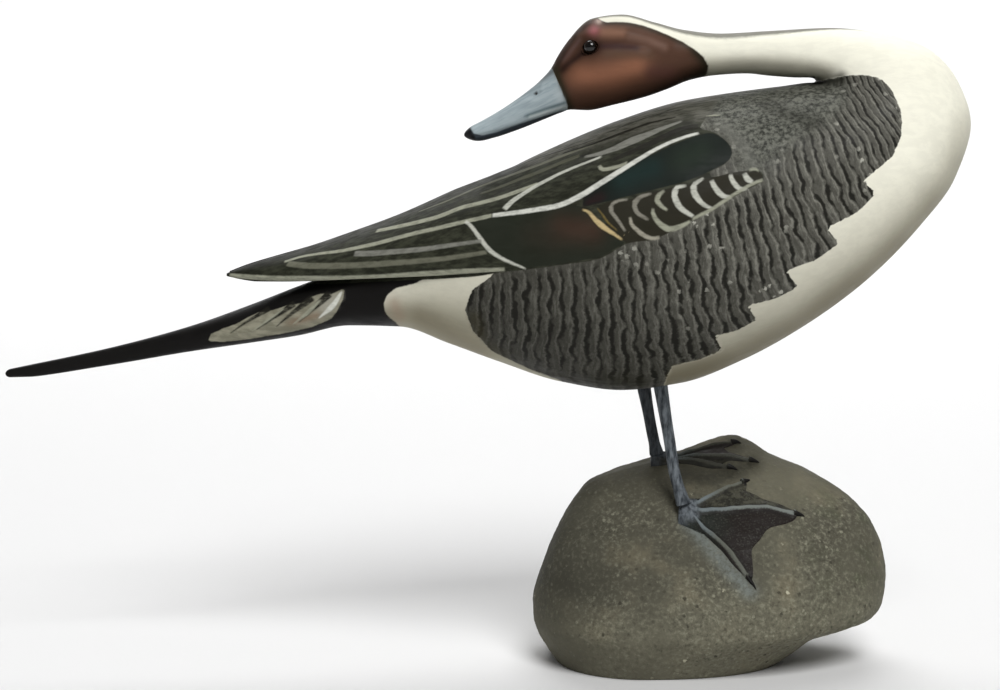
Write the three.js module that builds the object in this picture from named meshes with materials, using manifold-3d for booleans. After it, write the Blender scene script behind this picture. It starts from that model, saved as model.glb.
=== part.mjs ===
// Carved miniature of a drake pintail that looks back over its tail, on wire legs and a rounded rock.
// Millimetres, +X towards the breast, +Z up, the viewer stands on the -Y side of the bird.
import * as THREE from 'three';
import { mergeVertices } from 'three/addons/utils/BufferGeometryUtils.js';
import Module from 'manifold-3d';

const wasm = await Module();
wasm.setup();

// Rock: one row for each level, from the flat underside up.
// Height, then how far it reaches left, right, near and far, then the x and y of its middle.
const ROCK_TEMPLATES = [
  [0.0, -19.4, 20.6, -15.6, 17.8, -4, 1],
  [1.6, -20.6, 23.0, -16.8, 18.8, -3, 1],
  [4.8, -22.6, 27.6, -18.8, 20.2, -1, 1],
  [7.6, -23.6, 36.4, -19.8, 21.0, 0, 1],
  [10.5, -23.6, 38.7, -19.4, 21.5, 2, 1],
  [15.0, -22.4, 39.2, -17.4, 21.6, 5, 1],
  [20.0, -20.6, 38.3, -14.0, 21.2, 8, 1],
  [24.5, -18.7, 36.4, -10.3, 20.5, 12, 1],
  [28.5, -16.2, 33.3, -6.3, 19.6, 13, 2],
  [31.2, -13.4, 29.6, -3.0, 18.7, 13, 3],
  [33.4, -6.8, 24.8, 0.6, 17.6, 12, 5],
  [35.4, 2.0, 19.2, 3.9, 16.0, 11, 8],
  [37.2, 8.0, 16.4, 7.2, 13.6, 12, 9.8],
  [38.3, 11.6, 13.4, 9.6, 10.6, 12.5, 10],
];
const ROCK_RINGS_A_TEMPLATE = 2;
const ROCK_RING_POINTS = 32;
const ROCK_SQUARENESS = 2.15;

// Bird: one row for each template, from the tail pin forward, up the breast and back along the neck to the bill.
// Top x, top z, bottom x, bottom z, half width; past the breast the top is the inner side of the bend.
const TEMPLATES = [
  [-115.9, 51.3, -115.9, 50.6, 0.45],
  [-111.6, 52.7, -111.6, 50.2, 0.9],
  [-97.5, 55.7, -97.5, 52.4, 1.3],
  [-83.4, 59.2, -83.5, 54.8, 2.6],
  [-72.9, 62.9, -73.0, 56.4, 5.2],
  [-64.1, 66.3, -64.2, 57.8, 7.4],
  [-55.4, 69.4, -55.4, 59.6, 9.6],
  [-46.6, 73.4, -46.7, 59.4, 12.0],
  [-37.9, 79.6, -38.0, 56.3, 15.2],
  [-29.2, 85.2, -29.2, 52.9, 18.2],
  [-18.8, 90.7, -18.7, 49.4, 21.0],
  [-8.5, 95.1, -8.2, 47.9, 22.8],
  [1.9, 98.4, 2.3, 49.2, 23.2],
  [12.2, 100.1, 12.8, 53.2, 22.5],
  [20.0, 101.0, 23.2, 59.4, 21.2],
  [23.6, 101.5, 33.9, 67.3, 19.6],
  [25.2, 101.6, 43.0, 76.6, 17.8],
  [25.5, 101.9, 49.2, 85.1, 15.8],
  [25.3, 102.1, 51.9, 94.3, 13.8],
  [24.8, 102.3, 49.7, 101.6, 11.6],
  [23.9, 102.4, 44.0, 107.6, 9.8],
  [21.9, 102.4, 36.2, 110.0, 8.0],
  [17.4, 102.7, 27.6, 111.1, 6.5],
  [13.1, 102.9, 17.3, 110.8, 5.3],
  [7.9, 102.3, 8.7, 110.4, 4.7],
  [3.6, 102.0, 2.6, 110.9, 5.1],
  [-0.2, 100.5, -2.6, 112.2, 5.8],
  [-4.2, 99.1, -8.2, 113.4, 6.4],
  [-9.3, 97.8, -13.4, 112.8, 6.3],
  [-14.0, 96.8, -17.2, 109.5, 5.2],
  [-16.9, 96.3, -19.2, 106.4, 4.0],
  [-18.7, 95.7, -20.1, 103.7, 3.2],
  [-21.4, 94.9, -22.3, 101.9, 2.9],
  [-25.8, 93.3, -26.6, 98.9, 2.8],
  [-30.1, 92.0, -30.7, 96.3, 3.1],
  [-32.9, 91.5, -33.5, 94.7, 3.0],
  [-35.0, 91.7, -35.5, 93.5, 1.8],
];
const RINGS_A_TEMPLATE = 2;
const RING_POINTS = 28;
// Squareness of the sections: 2 is an oval, more is boxier
const SQUARE_TAIL = 2.7;
const SQUARE_BODY = 2.25;
const SQUARE_NECK = 2.05;
const SQUARE_BILL = 2.5;
const LAST_TAIL_TEMPLATE = 5;
const FIRST_BODY_TEMPLATE = 8;
const LAST_BODY_TEMPLATE = 15;
const FIRST_NECK_TEMPLATE = 21;
const LAST_HEAD_TEMPLATE = 29;
const FIRST_BILL_TEMPLATE = 31;

// Folded wing: x, height of the ridge, height of the lower edge, spread of the edge from the middle, inner edge
const WING_TEMPLATES = [
  [-76.6, 68.7, 68.35, 2.6, 2.0],
  [-73.3, 70.0, 68.3, 4.4, 1.5],
  [-67.0, 71.9, 68.4, 6.7, 0.9],
  [-62.2, 73.3, 68.6, 8.4, 0.4],
  [-54.7, 75.9, 69.1, 10.8, -0.2],
  [-47.3, 78.6, 69.6, 13.2, -0.3],
  [-37.6, 82.6, 70.3, 16.2, -0.3],
  [-28.9, 86.4, 71.2, 18.9, -0.3],
  [-24.5, 87.9, 72.0, 19.9, -0.3],
  [-20.5, 88.6, 75.0, 19.3, -0.3],
  [-15.0, 88.6, 79.0, 17.0, -0.3],
];
const WING_RINGS_A_TEMPLATE = 2;
const WING_ARC_POINTS = 9;
const WING_ROUNDNESS = 2.1;
const WING_EDGE_THICK = 0.9;
// Near the tip the edge is this share of the wing's rise instead
const WING_EDGE_SHARE = 0.4;
// The underside's three points, as shares: how far out they lie, and how far they stand above the lowest line
const WING_UNDERSIDE = [
  { out: 1, lift: 0.3, inset: 0.4 },
  { out: 0.6, lift: 0, inset: 0 },
  { out: 0, lift: 0.2, inset: 0 },
];

// Eyes
const EYE_CENTRE = [-13.75, 107.62];
const EYE_DEPTH = 4.75;
const EYE_RADIUS = 1.25;
const EYE_CLEARANCE = 0.1;
const EYE_SIDES = 12;
const EYE_ROWS = 8;
const SOCKET_SIDES = 14;
const SOCKET_ROWS = 10;

// Legs and feet
const WIRE_RADIUS = 1.0;
const THIGH_RADIUS = 1.35;
const THIGH_SHARE = 0.6;
const WIRE_SIDES = 10;
const WIRE_STEPS = 12;
const SOCKET_CLEARANCE = 0.15;
// The socket goes on past the wire's end, and out of the belly, by these shares of the wire's first stretch
const SOCKET_DEEPER = 0.12;
const SOCKET_OUTSIDE = 0.6;
const HEEL = 1.0;
const ANKLE_RADIUS = 2.0;
const ANKLE_RISE = 1.7;
const SOLE_CLEARANCE = 0.3;
const WEB_THICK = 0.5;
const TOE_THICK = 0.75;
const TOE_HALF_ANGLE = 5;
const CLAW_SHARE = 0.12;
// The outer toes are cut back by this share at their outer side
const TOE_SLANT = 0.25;
// The foot thins to these shares of its thickness at the free edge
const WEB_EDGE_SHARE = 0.5;
const TOE_EDGE_SHARE = 0.67;
// The free edge of a web hangs back between the toes by this share, within this share of the way from toe to toe
const WEB_HOLLOW = 0.2;
const WEB_HOLLOW_RUN = 0.35;
const FOOT_SPOKES = 21;
const FOOT_STEPS = 6;
const RIGHT_LEG = {
  wire: [[-2.05, -4.9, 52.8], [-1.51, -5.0, 49.9], [-0.75, -5.2, 45.5], [-0.07, -5.4, 41.3], [2.65, -5.8, 30.2]],
  ankle: [2.8, -5.8],
  toes: [[13.6, -1.5], [22.4, -6.6], [13.4, -15.3]],
};
const LEFT_LEG = {
  wire: [[-4.55, 4.9, 52.8], [-3.66, 4.9, 47.6], [-2.92, 4.8, 43.6], [-2.18, 4.7, 39.7], [-1.35, 4.6, 35.8]],
  ankle: [-1.3, 4.6],
  toes: [[11.5, 1.5], [15.5, 3.5], [12.7, 7.4]],
};

function paint(colour, roughness, metalness = 0) {
  return new THREE.MeshStandardMaterial({ color: colour, roughness, metalness });
}

const FEATHER_PAINT = paint(0x6e675c, 0.55);
const BEAD_GLASS = paint(0x120d0b, 0.1);
const LEG_PAINT = paint(0x5e6b78, 0.5);
const ROCK_PAINT = paint(0x625d4e, 0.85);

function toSolid(geometry) {
  const bare = geometry.clone();
  bare.deleteAttribute('normal');
  bare.deleteAttribute('uv');
  const merged = mergeVertices(bare, 1e-5);
  const mesh = new wasm.Mesh({
    numProp: 3,
    vertProperties: new Float32Array(merged.attributes.position.array),
    triVerts: new Uint32Array(merged.index.array),
  });
  return new wasm.Manifold(mesh);
}

function toMesh(solid, name, material) {
  const found = solid.getMesh();
  const geometry = new THREE.BufferGeometry();
  geometry.setAttribute('position', new THREE.BufferAttribute(new Float32Array(found.vertProperties), 3));
  geometry.setIndex(new THREE.BufferAttribute(new Uint32Array(found.triVerts), 1));
  geometry.computeVertexNormals();
  const mesh = new THREE.Mesh(geometry, material);
  mesh.name = name;
  return mesh;
}

// Closed skin over rings that have the same number of points, with a fan over either end
function skin(rings) {
  const across = rings[0].length;
  const points = rings.flat();
  const faces = [];
  for (let i = 0; i + 1 < rings.length; i += 1) {
    for (let j = 0; j < across; j += 1) {
      const k = (j + 1) % across;
      const a = i * across + j;
      const b = i * across + k;
      const c = a + across;
      const d = b + across;
      faces.push([a, c, b], [b, c, d]);
    }
  }
  for (const [ring, flip] of [[0, false], [rings.length - 1, true]]) {
    const middle = points.length;
    points.push(centreOf(rings[ring]));
    for (let j = 0; j < across; j += 1) {
      const a = ring * across + j;
      const b = ring * across + ((j + 1) % across);
      faces.push(flip ? [middle, b, a] : [middle, a, b]);
    }
  }
  return skinGeometry(points, faces);
}

function centreOf(ring) {
  const sum = ring.reduce((s, p) => [s[0] + p[0], s[1] + p[1], s[2] + p[2]], [0, 0, 0]);
  return sum.map((v) => v / ring.length);
}

// Faces turned to point outwards whichever way round the rings ran
function skinGeometry(points, faces) {
  let volume = 0;
  for (const [a, b, c] of faces) {
    const [p, q, r] = [points[a], points[b], points[c]].map((v) => new THREE.Vector3(...v));
    volume += p.dot(q.cross(r));
  }
  const facing = volume < 0 ? faces.map(([a, b, c]) => [a, c, b]) : faces;
  const geometry = new THREE.BufferGeometry();
  geometry.setAttribute('position', new THREE.BufferAttribute(new Float32Array(points.flat()), 3));
  geometry.setIndex(facing.flat());
  return geometry;
}

// Smooth value between the rows of a table, never past its neighbours
function between(values, t) {
  const last = values.length - 1;
  const i = Math.min(Math.floor(t), last - 1);
  const f = t - i;
  const slope = (k) => {
    if (k <= 0 || k >= last) {
      return values[Math.min(k + 1, last)] - values[Math.max(k - 1, 0)];
    }
    const left = values[k] - values[k - 1];
    const right = values[k + 1] - values[k];
    return left * right <= 0 ? 0 : (2 * left * right) / (left + right);
  };
  const [a, b, ma, mb] = [values[i], values[i + 1], slope(i), slope(i + 1)];
  return a + f * (ma + f * (3 * (b - a) - 2 * ma - mb + f * (2 * (a - b) + ma + mb)));
}

function rowAt(table, t) {
  return table[0].map((_, column) => between(table.map((row) => row[column]), t));
}

function blend(low, high, x) {
  const s = Math.min(Math.max((x - low) / (high - low), 0), 1);
  return s * s * (3 - 2 * s);
}

function squarenessAt(t) {
  const body = SQUARE_TAIL + (SQUARE_BODY - SQUARE_TAIL) * blend(LAST_TAIL_TEMPLATE, FIRST_BODY_TEMPLATE, t);
  const neck = body + (SQUARE_NECK - body) * blend(LAST_BODY_TEMPLATE, FIRST_NECK_TEMPLATE, t);
  return neck + (SQUARE_BILL - neck) * blend(LAST_HEAD_TEMPLATE, FIRST_BILL_TEMPLATE, t);
}

function bodyRing(t) {
  const [topX, topZ, lowX, lowZ, halfWidth] = rowAt(TEMPLATES, t);
  const power = 2 / squarenessAt(t);
  const ring = [];
  for (let j = 0; j < RING_POINTS; j += 1) {
    const angle = (2 * Math.PI * (j + 0.5)) / RING_POINTS;
    const along = Math.sign(Math.cos(angle)) * Math.abs(Math.cos(angle)) ** power;
    const out = Math.sign(Math.sin(angle)) * Math.abs(Math.sin(angle)) ** power;
    const share = (1 - along) / 2;
    ring.push([topX + (lowX - topX) * share, halfWidth * out, topZ + (lowZ - topZ) * share]);
  }
  return ring;
}

function bodySolid() {
  const steps = (TEMPLATES.length - 1) * RINGS_A_TEMPLATE;
  const rings = [];
  for (let i = 0; i <= steps; i += 1) {
    rings.push(bodyRing(i / RINGS_A_TEMPLATE));
  }
  return toSolid(skin(rings));
}

// One folded wing: an arched outer face from ridge to edge, and a flatter underside inside it
function wingRing(t, side) {
  const [x, ridge, edge, spread, inner] = rowAt(WING_TEMPLATES, t);
  const ring = [];
  const rise = ridge - edge;
  const power = 2 / WING_ROUNDNESS;
  for (let j = 0; j < WING_ARC_POINTS; j += 1) {
    const angle = (Math.PI / 2) * (j / (WING_ARC_POINTS - 1));
    const out = Math.sin(angle) ** power;
    const up = Math.cos(angle) ** power;
    ring.push([x, side * (inner + (spread - inner) * out), edge + rise * up]);
  }
  const thick = Math.min(WING_EDGE_THICK, rise * WING_EDGE_SHARE);
  for (const { out, lift, inset } of WING_UNDERSIDE) {
    ring.push([x, side * (inner + (spread - inner) * out - thick * inset), edge - thick * (1 - lift)]);
  }
  return ring;
}

function wingSolid(side) {
  const steps = (WING_TEMPLATES.length - 1) * WING_RINGS_A_TEMPLATE;
  const rings = [];
  for (let i = 0; i <= steps; i += 1) {
    rings.push(wingRing(i / WING_RINGS_A_TEMPLATE, side));
  }
  return toSolid(skin(rings));
}

// Round bar along a line of points, wider at its start and of even radius past THIGH_SHARE of its length
function barSolid(points, startRadius, endRadius, steps) {
  const path = new THREE.CatmullRomCurve3(points.map((p) => new THREE.Vector3(...p)));
  const rings = [];
  for (let i = 0; i <= steps; i += 1) {
    const at = path.getPoint(i / steps);
    const heading = path.getTangent(i / steps);
    const aside = new THREE.Vector3(0, 1, 0).cross(heading).normalize();
    const over = heading.clone().cross(aside).normalize();
    const radius = endRadius + (startRadius - endRadius) * blend(THIGH_SHARE, 0, i / steps);
    const ring = [];
    for (let j = 0; j < WIRE_SIDES; j += 1) {
      const angle = (2 * Math.PI * j) / WIRE_SIDES;
      const p = at.clone().addScaledVector(aside, radius * Math.cos(angle));
      p.addScaledVector(over, radius * Math.sin(angle));
      ring.push(p.toArray());
    }
    rings.push(ring);
  }
  return toSolid(skin(rings));
}

function ballSolid(centre, radius, across, rows) {
  const ball = new THREE.SphereGeometry(radius, across, rows);
  ball.translate(...centre);
  return toSolid(ball);
}

function rockRing(t) {
  const [height, left, right, near, far, middleX, middleY] = rowAt(ROCK_TEMPLATES, t);
  const power = 2 / ROCK_SQUARENESS;
  const ring = [];
  for (let j = 0; j < ROCK_RING_POINTS; j += 1) {
    const angle = (2 * Math.PI * j) / ROCK_RING_POINTS;
    const across = Math.abs(Math.cos(angle)) ** power;
    const deep = Math.abs(Math.sin(angle)) ** power;
    const x = middleX + (Math.cos(angle) > 0 ? right - middleX : left - middleX) * across;
    const y = middleY + (Math.sin(angle) > 0 ? far - middleY : near - middleY) * deep;
    ring.push([x, y, height]);
  }
  return ring;
}

function rockSolid() {
  const steps = (ROCK_TEMPLATES.length - 1) * ROCK_RINGS_A_TEMPLATE;
  const rings = [];
  for (let i = 0; i <= steps; i += 1) {
    rings.push(rockRing(i / ROCK_RINGS_A_TEMPLATE));
  }
  return toSolid(skin(rings));
}

const ROCK = rockSolid();
const ROCK_SKIN = ROCK.getMesh();
// A face this near to upright has no plan area to read a height from
const LEAST_PLAN_AREA = 1e-6;

// Height of the rock's faces over a point of its plan
function rockHeight(x, y) {
  const { vertProperties: place, triVerts: corners } = ROCK_SKIN;
  let height = 0;
  for (let i = 0; i < corners.length; i += 3) {
    const [a, b, c] = [corners[i] * 3, corners[i + 1] * 3, corners[i + 2] * 3];
    const area = signedArea(place, a, b, place[c], place[c + 1]);
    if (Math.abs(area) > LEAST_PLAN_AREA) {
      const shareC = signedArea(place, a, b, x, y) / area;
      const shareA = signedArea(place, b, c, x, y) / area;
      const shareB = 1 - shareA - shareC;
      if (Math.min(shareA, shareB, shareC) >= 0) {
        height = Math.max(height, place[a + 2] * shareA + place[b + 2] * shareB + place[c + 2] * shareC);
      }
    }
  }
  return height;
}

// Twice the plan area of the triangle from corner a to corner b to the point
function signedArea(place, a, b, x, y) {
  return (place[b] - place[a]) * (y - place[a + 1]) - (place[b + 1] - place[a + 1]) * (x - place[a]);
}

// A webbed foot that follows the stone: spokes from the ankle, long along the toes and short across the webs
function footSolid({ ankle, toes }) {
  const spokes = toes.map(([x, y]) => {
    const away = [x - ankle[0], y - ankle[1]];
    return { angle: Math.atan2(away[1], away[0]), reach: Math.hypot(...away) };
  });
  const first = spokes[0].angle;
  const last = spokes[spokes.length - 1].angle;
  const margin = THREE.MathUtils.degToRad(TOE_HALF_ANGLE) * Math.sign(first - last);
  const top = [];
  const sole = [];
  for (let i = 0; i < FOOT_SPOKES; i += 1) {
    const angle = first + margin + ((last - first - 2 * margin) * i) / (FOOT_SPOKES - 1);
    const { reach, ridge } = footReach(angle, spokes);
    for (let j = 0; j <= FOOT_STEPS; j += 1) {
      const out = -HEEL + ((reach + HEEL) * j) / FOOT_STEPS;
      const turn = j === 0 ? first + (last - first) / 2 : angle;
      const start = j === 0 ? HEEL * ((2 * i) / (FOOT_SPOKES - 1) - 1) : 0;
      const x = ankle[0] + out * Math.cos(turn) + start * Math.sin(turn) * Math.sign(first - last);
      const y = ankle[1] + out * Math.sin(turn) - start * Math.cos(turn) * Math.sign(first - last);
      const ground = rockHeight(x, y) + SOLE_CLEARANCE;
      const full = blend(1, 1 - CLAW_SHARE, j / FOOT_STEPS);
      const knuckle = ANKLE_RISE * Math.exp(-((out / ANKLE_RADIUS) ** 2));
      const web = WEB_THICK * (WEB_EDGE_SHARE + (1 - WEB_EDGE_SHARE) * full);
      const toe = TOE_THICK * (TOE_EDGE_SHARE + (1 - TOE_EDGE_SHARE) * full) * ridge;
      sole.push([x, y, ground]);
      top.push([x, y, ground + web + toe + knuckle]);
    }
  }
  return sheetSolid(top, sole, FOOT_STEPS + 1, FOOT_SPOKES);
}

// How far the foot reaches in one direction, and how much of a toe's ridge runs there
function footReach(angle, spokes) {
  let reach = 0;
  let ridge = 0;
  const half = THREE.MathUtils.degToRad(TOE_HALF_ANGLE);
  for (let k = 0; k + 1 < spokes.length; k += 1) {
    const share = (angle - spokes[k].angle) / (spokes[k + 1].angle - spokes[k].angle);
    if (share >= 0 && share <= 1) {
      const toeLine = spokes[k].reach + (spokes[k + 1].reach - spokes[k].reach) * share;
      const near = Math.min(share, 1 - share);
      reach = toeLine * (1 - WEB_HOLLOW * blend(0, WEB_HOLLOW_RUN, near));
    }
  }
  if (reach === 0) {
    const toe = Math.abs(angle - spokes[0].angle) < Math.abs(angle - spokes[2].angle) ? spokes[0] : spokes[2];
    reach = toe.reach * (1 - TOE_SLANT * Math.abs(angle - toe.angle) / half);
  }
  for (const toe of spokes) {
    ridge = Math.max(ridge, Math.exp(-(((angle - toe.angle) / half) ** 2)));
  }
  return { reach, ridge };
}

// Closed solid between two sheets of the same grid
function sheetSolid(top, sole, across, rows) {
  const points = [...top, ...sole];
  const lower = top.length;
  const faces = [];
  const quad = (a, b, c, d) => faces.push([a, b, c], [a, c, d]);
  for (let i = 0; i + 1 < rows; i += 1) {
    for (let j = 0; j + 1 < across; j += 1) {
      const a = i * across + j;
      quad(a, a + 1, a + across + 1, a + across);
      quad(lower + a, lower + a + across, lower + a + across + 1, lower + a + 1);
    }
  }
  for (let i = 0; i + 1 < rows; i += 1) {
    const inner = i * across;
    const outer = inner + across - 1;
    quad(inner, inner + across, lower + inner + across, lower + inner);
    quad(outer, lower + outer, lower + outer + across, outer + across);
  }
  const end = (rows - 1) * across;
  for (let j = 0; j + 1 < across; j += 1) {
    quad(j, lower + j, lower + j + 1, j + 1);
    quad(end + j, end + j + 1, lower + end + j + 1, lower + end + j);
  }
  return toSolid(skinGeometry(points, faces));
}

function legSolid(leg) {
  const wire = barSolid(leg.wire, THIGH_RADIUS, WIRE_RADIUS, WIRE_STEPS);
  return wire.add(footSolid(leg));
}

function birdSolid() {
  let bird = bodySolid().add(wingSolid(-1)).add(wingSolid(1));
  for (const side of [-1, 1]) {
    const centre = [EYE_CENTRE[0], side * EYE_DEPTH, EYE_CENTRE[1]];
    bird = bird.subtract(ballSolid(centre, EYE_RADIUS + EYE_CLEARANCE, SOCKET_SIDES, SOCKET_ROWS));
  }
  for (const leg of [RIGHT_LEG, LEFT_LEG]) {
    const [above, entry] = leg.wire;
    const deep = above.map((v, k) => v + (v - entry[k]) * SOCKET_DEEPER);
    const outside = entry.map((v, k) => v + (v - above[k]) * SOCKET_OUTSIDE);
    const bore = THIGH_RADIUS + SOCKET_CLEARANCE;
    bird = bird.subtract(barSolid([deep, above, entry, outside], bore, bore, 3));
  }
  return bird;
}

const group = new THREE.Group();
group.name = 'pintail_carving';
group.add(toMesh(birdSolid(), 'bird', FEATHER_PAINT));
for (const [name, side] of [['left_eye', -1], ['right_eye', 1]]) {
  const centre = [EYE_CENTRE[0], side * EYE_DEPTH, EYE_CENTRE[1]];
  group.add(toMesh(ballSolid(centre, EYE_RADIUS, EYE_SIDES, EYE_ROWS), name, BEAD_GLASS));
}
group.add(toMesh(legSolid(RIGHT_LEG), 'right_leg_and_foot', LEG_PAINT));
group.add(toMesh(legSolid(LEFT_LEG), 'left_leg_and_foot', LEG_PAINT));
group.add(toMesh(ROCK, 'rock_base', ROCK_PAINT));

export default group;
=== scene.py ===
"""Looks of the carved pintail: a painted wooden bird on wire legs, standing on a painted rock.

Sizes are in millimetres and become metres only where a mesh is made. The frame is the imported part's own:
+X towards the breast, +Z up, and the camera stands on the -Y side, in front of the bird's right flank.
"""

from __future__ import annotations

import logging
import math
from collections.abc import Sequence
from dataclasses import dataclass, field
from enum import Enum

import bpy
import numpy as np
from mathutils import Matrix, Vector, noise
from mathutils.bvhtree import BVHTree
from mathutils.kdtree import KDTree


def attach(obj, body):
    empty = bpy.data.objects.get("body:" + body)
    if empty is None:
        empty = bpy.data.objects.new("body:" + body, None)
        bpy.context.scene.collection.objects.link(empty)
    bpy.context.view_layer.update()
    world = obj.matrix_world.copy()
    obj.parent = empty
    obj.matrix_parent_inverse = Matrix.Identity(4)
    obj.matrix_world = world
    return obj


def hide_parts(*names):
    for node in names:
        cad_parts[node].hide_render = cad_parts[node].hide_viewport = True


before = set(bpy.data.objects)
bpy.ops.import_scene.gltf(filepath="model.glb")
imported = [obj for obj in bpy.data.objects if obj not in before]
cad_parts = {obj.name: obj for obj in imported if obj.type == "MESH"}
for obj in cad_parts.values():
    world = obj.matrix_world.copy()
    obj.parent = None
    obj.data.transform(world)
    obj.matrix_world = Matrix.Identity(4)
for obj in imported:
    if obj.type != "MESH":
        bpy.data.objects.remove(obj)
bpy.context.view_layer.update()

LOG = logging.getLogger("pintail")
METRE = 0.001

Pixel = tuple[float, float]
Spot = tuple[float, float, float]
Colour = tuple[float, float, float]
Socket = bpy.types.NodeSocket
Piece = bpy.types.Object


def paint_colour(red: float, green: float, blue: float) -> Colour:
    """Turn a colour as the eye reads it, 0 to 255, into the renderer's linear values.

    Args:
        red: red part.
        green: green part.
        blue: blue part.

    Returns:
        The linear colour.
    """
    shares = (value / 255 for value in (red, green, blue))
    return tuple(s / 12.92 if s <= 0.04045 else ((s + 0.055) / 1.055) ** 2.4 for s in shares)


def ease(low: float, high: float, values: np.ndarray | float) -> np.ndarray:
    """Rise smoothly from 0 at low to 1 at high.

    Args:
        low: where the rise starts.
        high: where it ends, which may lie below low.
        values: places to read it at.

    Returns:
        The share at each place.
    """
    share = np.clip((np.asarray(values, float) - low) / (high - low), 0.0, 1.0)
    return share * share * (3 - 2 * share)


def template_at(table: Sequence[Sequence[float]], place: np.ndarray) -> np.ndarray:
    """Read smooth values between the rows of a table, never past their neighbours.

    Args:
        table: one row of sizes for each template.
        place: where to read, 0 at the first row and 1 more at each next one.

    Returns:
        One row of sizes for each place.
    """
    rows = np.array(table, float)
    steps = np.diff(rows, axis=0)
    slopes = np.vstack([steps[:1], np.zeros((len(rows) - 2, rows.shape[1])), steps[-1:]])
    before, after = steps[:-1], steps[1:]
    same_way = before * after > 0
    total = np.where(same_way, before + after, 1.0)
    slopes[1:-1] = np.where(same_way, 2 * before * after / total, 0.0)
    low = np.minimum(np.floor(place).astype(int), len(rows) - 2)
    share = (place - low)[:, None]
    start, end, out, into = rows[low], rows[low + 1], slopes[low], slopes[low + 1]
    cubic = 2 * (start - end) + out + into
    square = 3 * (end - start) - 2 * out - into
    return start + share * (out + share * (square + share * cubic))


def smooth_line(points: Sequence[Sequence[float]], parts: int = 6) -> np.ndarray:
    """Draw a smooth line through a few points.

    Args:
        points: the points it passes through, each with any number of values.
        parts: how many straight pieces stand for the stretch between two of them.

    Returns:
        The points of the line.
    """
    given = np.array(points, float)
    padded = np.vstack([2 * given[0] - given[1], given, 2 * given[-1] - given[-2]])
    line = []
    for a, b, c, d in zip(padded, padded[1:], padded[2:], padded[3:]):
        for step in range(parts):
            t = step / parts
            square = 2 * a - 5 * b + 4 * c - d
            cube = 3 * b - a - 3 * c + d
            line.append(0.5 * (2 * b + (c - a) * t + square * t**2 + cube * t**3))
    return np.array(line + [given[-1]])


@dataclass(frozen=True)
class Viewpoint:
    """Where the viewer's eye is, and how the carving falls in its picture."""

    tilt: float = math.radians(7)
    lens: float = 85.0
    gate: float = 36.0
    wide: int = 1000
    high: int = 690
    millimetres_a_pixel: float = 0.175
    across: float = -29.225
    up: float = 55.9

    @property
    def reach(self) -> float:
        """Distance that makes one pixel the chosen size, in pixels."""
        return self.wide * self.lens / self.gate

    @property
    def eye(self) -> np.ndarray:
        """The eye's place in millimetres."""
        away = self.reach * self.millimetres_a_pixel
        return np.array([self.across, -away * math.cos(self.tilt), self.up + away * math.sin(self.tilt)])

    def picture_of(self, points: np.ndarray) -> np.ndarray:
        """Find where points fall in the picture.

        Args:
            points: places in millimetres, one a row.

        Returns:
            Pixels across and down, one pair a row.
        """
        away = points - self.eye
        sine, cosine = math.sin(self.tilt), math.cos(self.tilt)
        depth = away[:, 1] * cosine - away[:, 2] * sine
        rise = away[:, 1] * sine + away[:, 2] * cosine
        across = self.wide / 2 + self.reach * away[:, 0] / depth
        down = self.high / 2 - self.reach * rise / depth
        return np.stack([across, down], axis=1)

    def ray(self, pixel: Pixel) -> Vector:
        """Direction from the eye through a pixel.

        Args:
            pixel: place in the picture.

        Returns:
            The direction, one long.
        """
        sine, cosine = math.sin(self.tilt), math.cos(self.tilt)
        across = pixel[0] - self.wide / 2
        rise = self.high / 2 - pixel[1]
        ahead = rise * sine + self.reach * cosine
        up = rise * cosine - self.reach * sine
        return Vector((across, ahead, up)).normalized()

    def make_camera(self) -> Piece:
        """Put the scene's camera at the eye.

        Returns:
            The camera.
        """
        turn = (math.pi / 2 - self.tilt, 0, 0)
        bpy.ops.object.camera_add(location=Vector(self.eye) * METRE, rotation=turn)
        camera = bpy.context.object
        camera.name = "viewer"
        camera.data.lens = self.lens
        camera.data.sensor_width = self.gate
        camera.data.clip_start = 0.01
        camera.data.clip_end = 20.0
        bpy.context.scene.camera = camera
        return camera


VIEW = Viewpoint()


class Joining(Enum):
    """What becomes of a second solid that is put to a piece."""

    ADDED = "UNION"
    CUT_AWAY = "DIFFERENCE"


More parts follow.
